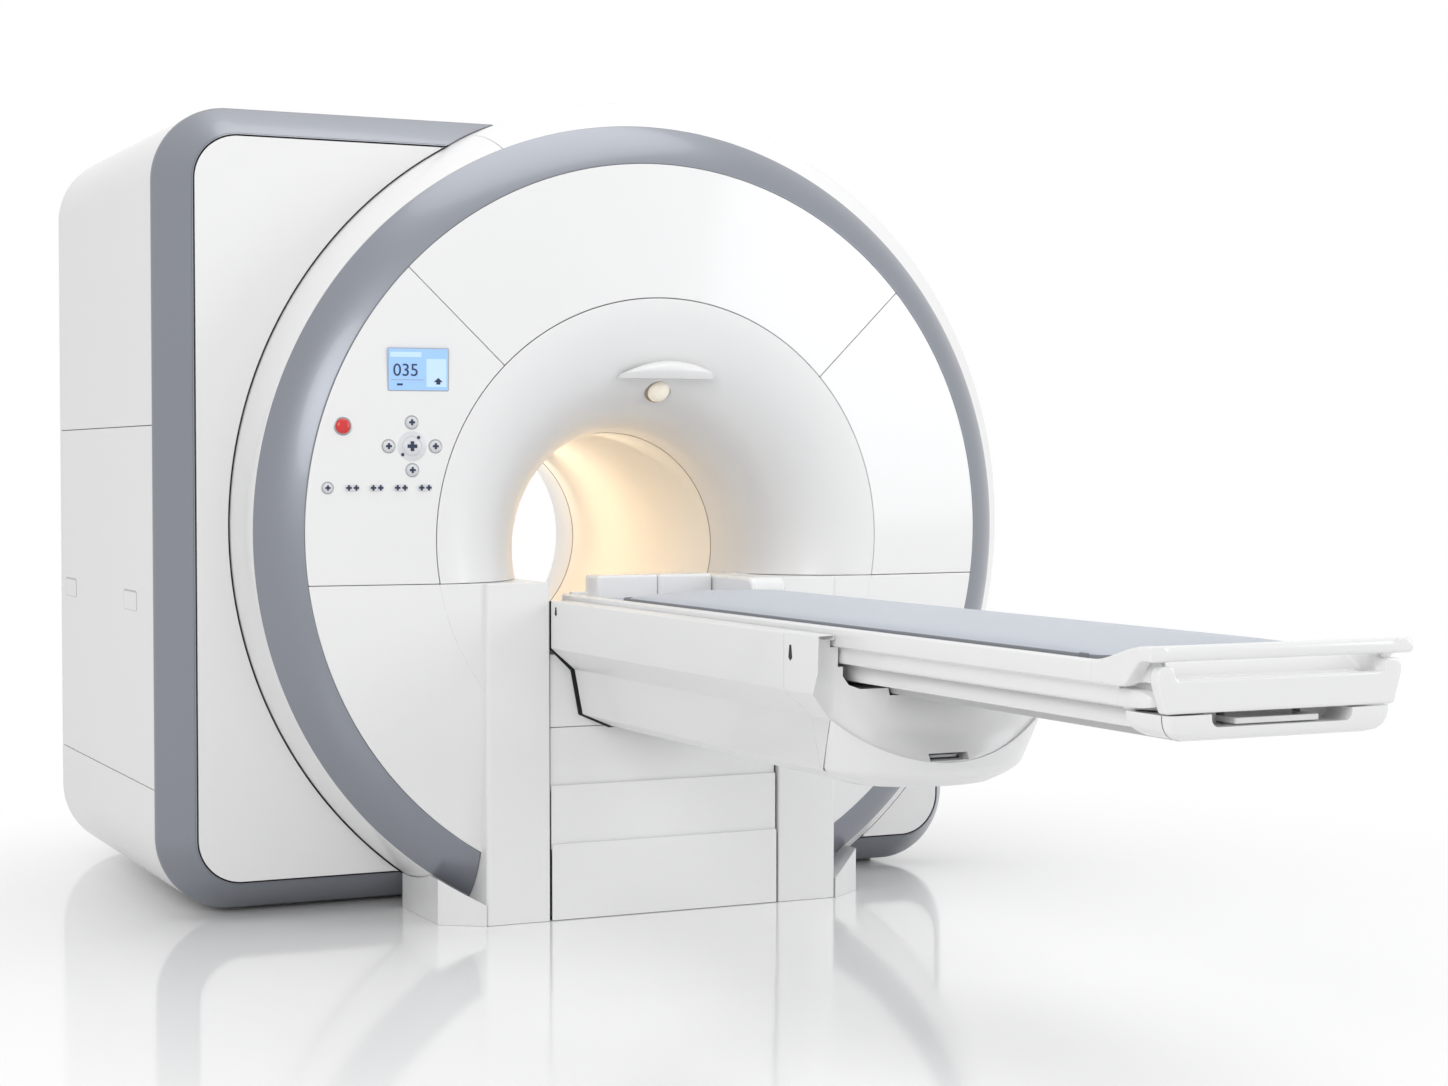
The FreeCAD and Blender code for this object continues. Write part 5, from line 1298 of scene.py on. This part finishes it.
        # painted shade: a fine dark strip stands for the shade in the seam between the front shell and the side of
        # the box, along the same place of each ring
        place = np.argmin(np.hypot(rings[..., 0] + 0.2275, rings[..., 1] + 2.4310), axis=1)
        path = rings[np.arange(len(rings)), place]
        outward, width = np.array([-0.0004, -0.0002, 0]), np.array([0, 0.0007, 0])
        strip = np.stack([path + outward - width, path + outward + width, path - outward * 2 + width,
                          path - outward * 2 - width], 1)
        piece("foot_box_seam_painted_shade", [tube(strip)], looks["dark"], "tabletop", slot="dark_plastic")

    def cut(self, thing, cutter):
        """Take the cutter's form out of the piece, and remove the cutter."""
        difference = thing.modifiers.new("cut", "BOOLEAN")
        difference.object = cutter
        difference.solver = "EXACT"
        baked(thing)
        bpy.data.objects.remove(cutter)


# ------------------------------------------------------------------ controls

def face_normal(x, z):
    """Direction out of the cone: forward, and a little away from the seam's centre."""
    return np.array([x, 0, z - SEAM_Z]) / np.hypot(x, z - SEAM_Z) * 0.088 + [0, -0.996, 0]


def on_face(x, z):
    """The place on the cone."""
    return np.array([x, float(face_depth(x, z)), z])


def turned(x, z, profile, steps=48):
    """A profile of (radius, height) turned round the face's normal at a place."""
    return lathe(profile, on_face(x, z), face_normal(x, z), steps)


class SCANNER_OT_controls(bpy.types.Operator):
    """Make the keys with their marks, the stop button and the lit display on the face"""
    bl_idname = "scanner.controls"
    bl_label = "Controls"

    def execute(self, context):
        looks = finishes()
        # round keys: a flat-topped cap with a rounded shoulder, in a thin bezel, with a dark mark
        for name, (x, z, r) in KEYS.items():
            cap = [(0, 0.0042), (r * 0.55, 0.0041), (r * 0.8, 0.0035), (r * 0.93, 0.0022), (r * 0.98, 0),
                   (r * 0.98, -0.01), (0, -0.01)]
            rim = [(r + 0.0012, -0.004), (r + 0.0012, 0.0006), (r + 0.0022, 0.0012), (r + 0.0040, 0.0008),
                   (r + 0.0044, -0.002)]
            piece(name + "_cap_shell", [turned(x, z, cap)], looks["key"], name + "_cap", [name], "key_face")
            piece(name + "_bezel", [turned(x, z, rim)], looks["bezel"], "scanner", slot="key_face")
            self.mark(looks, name, x, z, r * 0.56, face_normal(x, z), 0.0, name + "_cap")
        # the row: an oblong cap that lies level, with two marks
        for name, x in ROW.items():
            y = float(face_depth(x, ROW_Z))
            outline = softened(oblong(x - 0.017, x + 0.017, ROW_Z - 0.008, ROW_Z + 0.008), 0.006)
            piece(name + "_cap_shell", [extrusion(outline, 1, y - 0.004, y + 0.015)], looks["key"], name + "_cap",
                  [name], "key_face", bevel=0.0014)
            for letter, shift in (("a", -0.009), ("b", 0.009)):
                proud = float(face_depth(x + shift, ROW_Z)) - y
                self.mark(looks, f"{name}_{letter}", x + shift, ROW_Z, 0.0066, (0, -1, 0), proud, name + "_cap")
        # the cross of keys stands on a round base with two dots
        x, z, r = KEYS["key_hub"]
        base = [(0, 0.0012), (0.034, 0.0010), (0.036, 0.0), (0.036, -0.003), (0, -0.003)]
        piece("pad_base", [turned(x, z, base)], looks["key"], "scanner", slot="key_face")
        dot = [(0, 0.003), (0.003, 0.0028), (0.0042, 0.0012), (0.0042, -0.001), (0, -0.001)]
        for number, (x, z) in enumerate(((-0.642, 1.186), (-0.681, 1.145))):
            piece(f"pad_dot_{number}", [turned(x, z, dot, 20)], looks["ink"], "scanner", slot="key_face")
        # the stop button: a dome in its bezel
        x, z, r = STOP
        dome = [(0, 0.0075), (r * 0.4, 0.0072), (r * 0.75, 0.0058), (r * 0.93, 0.0036), (r * 0.99, 0.001),
                (r * 0.99, -0.01), (0, -0.01)]
        rim = [(r + 0.0010, -0.004), (r + 0.0010, 0.001), (r + 0.0024, 0.0018), (r + 0.0040, 0.0012),
               (r + 0.0044, -0.002)]
        piece("stop_dome", [turned(x, z, dome, 64)], looks["stop"], "stop", ["stop_button"], "stop_red")
        piece("stop_bezel", [turned(x, z, rim, 64)], looks["bezel"], "scanner", slot="key_face")
        self.display(looks)
        return {"FINISHED"}

    def mark(self, looks, name, x, z, size, normal, out, body):
        """A small plus-shaped mark just above the cap, turned so that it lies along the cap's face."""
        arm = size * 0.36
        loop = [(arm, arm), (arm, size), (-arm, size), (-arm, arm), (-size, arm), (-size, -arm), (-arm, -arm),
                (-arm, -size), (arm, -size), (arm, -arm), (size, -arm), (size, arm)]
        points, faces = extrusion(loop, 1, -0.0050 - out, -0.0036 - out)
        normal = np.asarray(normal, float)
        across = np.cross([0, 0, 1], normal)
        across /= np.linalg.norm(across)
        lying = points @ np.stack([across, -normal, np.cross(normal, across)])
        piece(name + "_mark", [(lying + on_face(x, z), faces)], looks["ink"], body, slot="key_face")

    def display(self, looks):
        """The display: a glowing plate in a thin frame, with fields and plain numbers. Its depth follows a straight
        line between the front-most places of the face at its two sides."""
        left, right, low, high = SCREEN
        sides = (right + 0.001, left - 0.001)
        depths = [float(min(face_depth(x, z) for z in (low, (low + high) / 2, high))) for x in sides]
        thin = 0.0006

        def depth(x):
            """Depth of the display at a place across, on the straight line between its sides."""
            return depths[0] + (x - sides[0]) / (sides[1] - sides[0]) * (depths[1] - depths[0])

        def plate(name, outline, lift, look, back=thin, **more):
            """A plate of the display, lifted off it and the given length thick."""
            outline = np.asarray(outline)
            front = depth(outline[:, 0]) - lift
            piece(name, [extrusion(outline, 1, front, front + back)], looks[look], "scanner", slot="screen", **more)

        rim = 0.0022
        plate("screen_frame", softened(oblong(left - rim, right + rim, low - rim, high + rim), 0.003, 3), thin,
              "bezel")
        plate("screen_glass", oblong(left, right, low, high), 0.0012, "screen", 0.0212, nodes=["display_screen"],
              bevel=0.0006)
        fields = {
            "screen_head": ((left + 0.004, left + 0.080, high - 0.020, high - 0.008), 0.0016, "pale_screen"),
            "screen_field": ((left + 0.092, right - 0.004, low + 0.008, high - 0.024), 0.0016, "pale_screen"),
            "screen_rule": ((left + 0.006, left + 0.086, low + 0.024, low + 0.0255), 0.0017, "bezel"),
            "screen_foot": ((left + 0.020, left + 0.034, low + 0.011, low + 0.016), 0.0017, "ink"),
        }
        for name, (sizes, lift, look) in fields.items():
            plate(name, oblong(*sizes), lift, look)
        arrow = np.array([(0.116, 0.014), (0.126, 0.014), (0.126, 0.020), (0.132, 0.020), (0.121, 0.030),
                          (0.110, 0.020), (0.116, 0.020)]) + [left, low]
        plate("screen_arrow", arrow, 0.0020, "ink")
        self.numbers(looks, (left + 0.010, low + 0.034), depth, 0.0020)

    def numbers(self, looks, corner, depth, lift):
        """Plain numbers as a mesh: the text's own x and y become x and z from the corner, on the display."""
        text = bpy.data.curves.new("screen_number", "FONT")
        text.body = "035"
        text.size = 0.042
        text.extrude = 0.0003
        lettering = bpy.data.objects.new("screen_number_draft", text)
        bpy.context.scene.collection.objects.link(lettering)
        bpy.context.view_layer.update()
        mesh = bpy.data.meshes.new_from_object(lettering.evaluated_get(bpy.context.evaluated_depsgraph_get()))
        bpy.data.objects.remove(lettering)
        flat = points_of(mesh)
        x = flat[:, 0] + corner[0]
        placed = np.stack([x, depth(x) - lift - flat[:, 2], flat[:, 1] + corner[1]], -1)
        mesh.vertices.foreach_set("co", placed.ravel())
        mesh.update()
        mesh.materials.clear()
        mesh.materials.append(looks["ink"])
        thing = bpy.data.objects.new("screen_numbers", mesh)
        bpy.context.scene.collection.objects.link(thing)
        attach(thing, "scanner")


# ------------------------------------------------------------------ studio

class SCANNER_OT_stage(bpy.types.Operator):
    """Set the floor, the lamps, the bore's light, the world and the camera"""
    bl_idname = "scanner.stage"
    bl_label = "Stage"

    def execute(self, context):
        self.floor()
        self.world(context.scene)
        # place, target, size, power and tint
        lamp = self.lamp
        lamp("key", (-4.2, -4.6, 3.4), (-0.2, 0.2, 1.0), 3.2, 112, (1.0, 1.0, 1.0))
        lamp("fill", (4.4, -4.4, 2.6), (0.2, 0.0, 0.9), 3.6, 102, (0.97, 0.98, 1.0))
        lamp("top", (0.0, 0.0, 5.2), (0.0, 0.3, 0.5), 4.0, 76, (1.0, 1.0, 1.0))
        lamp("bore_light", (0.05, 1.05, 1.17), (0.12, 0.95, 0.8), 0.30, 2.0, (1.0, 0.73, 0.47))
        lamp("mouth_light", (0.06, 0.60, 1.06), (-0.40, -0.05, 1.06), 0.16, 0.30, (1.0, 0.86, 0.66))
        lamp("rear_light", (0.05, 1.28, 1.02), (0.10, 1.80, 1.0), 0.24, 0.55, (1.0, 0.93, 0.80))
        focal, width = 2518.273, 1448       # pixels of the photograph
        camera = bpy.data.cameras.new("photo_camera")
        camera.sensor_width = 36
        camera.lens = focal / width * camera.sensor_width
        camera.clip_end = 100
        viewer = bpy.data.objects.new("photo_camera", camera)
        viewer.location = (-2.592, -5.744, 1.124)
        viewer.rotation_euler = (math.radians(90 - 1.81), 0, math.radians(-25.64))
        context.scene.collection.objects.link(viewer)
        context.scene.camera = viewer
        context.scene.view_settings.view_transform = "Standard"
        return {"FINISHED"}

    def lamp(self, name, place, target, size, power, tint):
        """A round lamp turned from its place to the target, by the two arctangents of the direction between
        them. It isn't seen itself, and only the large ones show in glosses."""
        light = bpy.data.lights.new(name, "AREA")
        light.shape = "DISK"
        light.size = size
        light.energy = power
        light.color = tint
        thing = bpy.data.objects.new(name, light)
        thing.location = place
        direction = np.array(target) - np.array(place)
        yaw = math.atan2(direction[0], -direction[1])
        pitch = math.atan2(np.hypot(direction[0], direction[1]), -direction[2])
        thing.rotation_euler = (pitch, 0, yaw + math.pi)
        thing.visible_camera = False
        thing.visible_glossy = size > 1
        bpy.context.scene.collection.objects.link(thing)

    def floor(self):
        """A pale glossy floor. From 1.2 to 3 m from the object it fades to plain white, by a smooth step."""
        mesh = bpy.data.meshes.new("floor")
        side, level = 40.0, -0.0005
        mesh.from_pydata([(x, y, level) for x, y in oblong(-side, side, -side, side)], [], [(0, 1, 2, 3)])
        ground = bpy.data.objects.new("floor", mesh)
        bpy.context.scene.collection.objects.link(ground)
        material = bpy.data.materials.new("pale_floor")
        material.use_nodes = True
        tree = material.node_tree
        shader = wire(tree, tree.nodes["Principled BSDF"], {"Base Color": (0.93, 0.93, 0.93, 1),
                                                            "Roughness": 0.09})
        place = new_node(tree, "TexCoord").outputs["Object"]
        shift = new_node(tree, "Mapping", {"Vector": place, "Location": (0.0, 0.2, 0.0)}).outputs["Vector"]
        reach = new_node(tree, "VectorMath", {0: shift}, operation="LENGTH").outputs["Value"]
        fade = new_node(tree, "MapRange", {"Value": reach, "From Min": 1.2, "From Max": 3.0},
                        interpolation_type="SMOOTHSTEP").outputs["Result"]
        white = new_node(tree, "Emission", {"Color": (1, 1, 1, 1), "Strength": 1.0})
        share = calculated(tree, "MULTIPLY", fade, seen_plainly(tree))
        mix = new_node(tree, "MixShader", {0: share, 1: shader.outputs[0], 2: white.outputs[0]})
        wire(tree, tree.nodes["Material Output"], {"Surface": mix.outputs[0]})
        mesh.materials.append(material)

    def world(self, scene):
        """Soft even light, seen as plain white behind the object."""
        world = bpy.data.worlds.new("studio")
        scene.world = world
        world.use_nodes = True
        tree = world.node_tree
        level = new_node(tree, "MapRange", {"Value": seen_plainly(tree), "To Min": 0.60, "To Max": 1.0})
        wire(tree, tree.nodes["Background"], {"Color": (1, 1, 1, 1), "Strength": level.outputs["Result"]})


class SCANNER_PT_panel(bpy.types.Panel):
    """Lists the scanner's pieces, sizes and colours"""
    bl_idname = "SCANNER_PT_panel"
    bl_label = "Bore scanner"
    bl_space_type = "VIEW_3D"
    bl_region_type = "UI"
    bl_category = "Scanner"

    def draw(self, context):
        for group in (context.scene.scanner_sizes, context.scene.scanner_colours):
            for field in group.bl_rna.properties.keys():
                if field not in ("rna_type", "name"):
                    self.layout.prop(group, field)
        for maker in MAKERS:
            self.layout.operator(maker.bl_idname)


MAKERS = (SCANNER_OT_bore, SCANNER_OT_brow, SCANNER_OT_face, SCANNER_OT_flank, SCANNER_OT_band, SCANNER_OT_housing,
          SCANNER_OT_pedestal, SCANNER_OT_beam, SCANNER_OT_tabletop, SCANNER_OT_mattress, SCANNER_OT_foot_end,
          SCANNER_OT_controls, SCANNER_OT_stage)
CLASSES = (ScannerSizes, ScannerColours, *MAKERS, SCANNER_PT_panel)


def register():
    """Make the classes known, and hang the sizes and colours on the scene."""
    for item in CLASSES:
        bpy.utils.register_class(item)
    bpy.types.Scene.scanner_sizes = bpy.props.PointerProperty(type=ScannerSizes)
    bpy.types.Scene.scanner_colours = bpy.props.PointerProperty(type=ScannerColours)


def unregister():
    """Undo what register did, in reverse."""
    del bpy.types.Scene.scanner_colours
    del bpy.types.Scene.scanner_sizes
    for item in reversed(CLASSES):
        bpy.utils.unregister_class(item)


def main():
    """Make every piece in order and the stage."""
    register()
    bpy.ops.scanner.bore()
    bpy.ops.scanner.brow()
    bpy.ops.scanner.face()
    bpy.ops.scanner.flank()
    bpy.ops.scanner.band()
    bpy.ops.scanner.housing()
    bpy.ops.scanner.pedestal()
    bpy.ops.scanner.beam()
    bpy.ops.scanner.tabletop()
    bpy.ops.scanner.mattress()
    bpy.ops.scanner.foot_end()
    bpy.ops.scanner.controls()
    bpy.ops.scanner.stage()


if __name__ == "__main__":
    main()
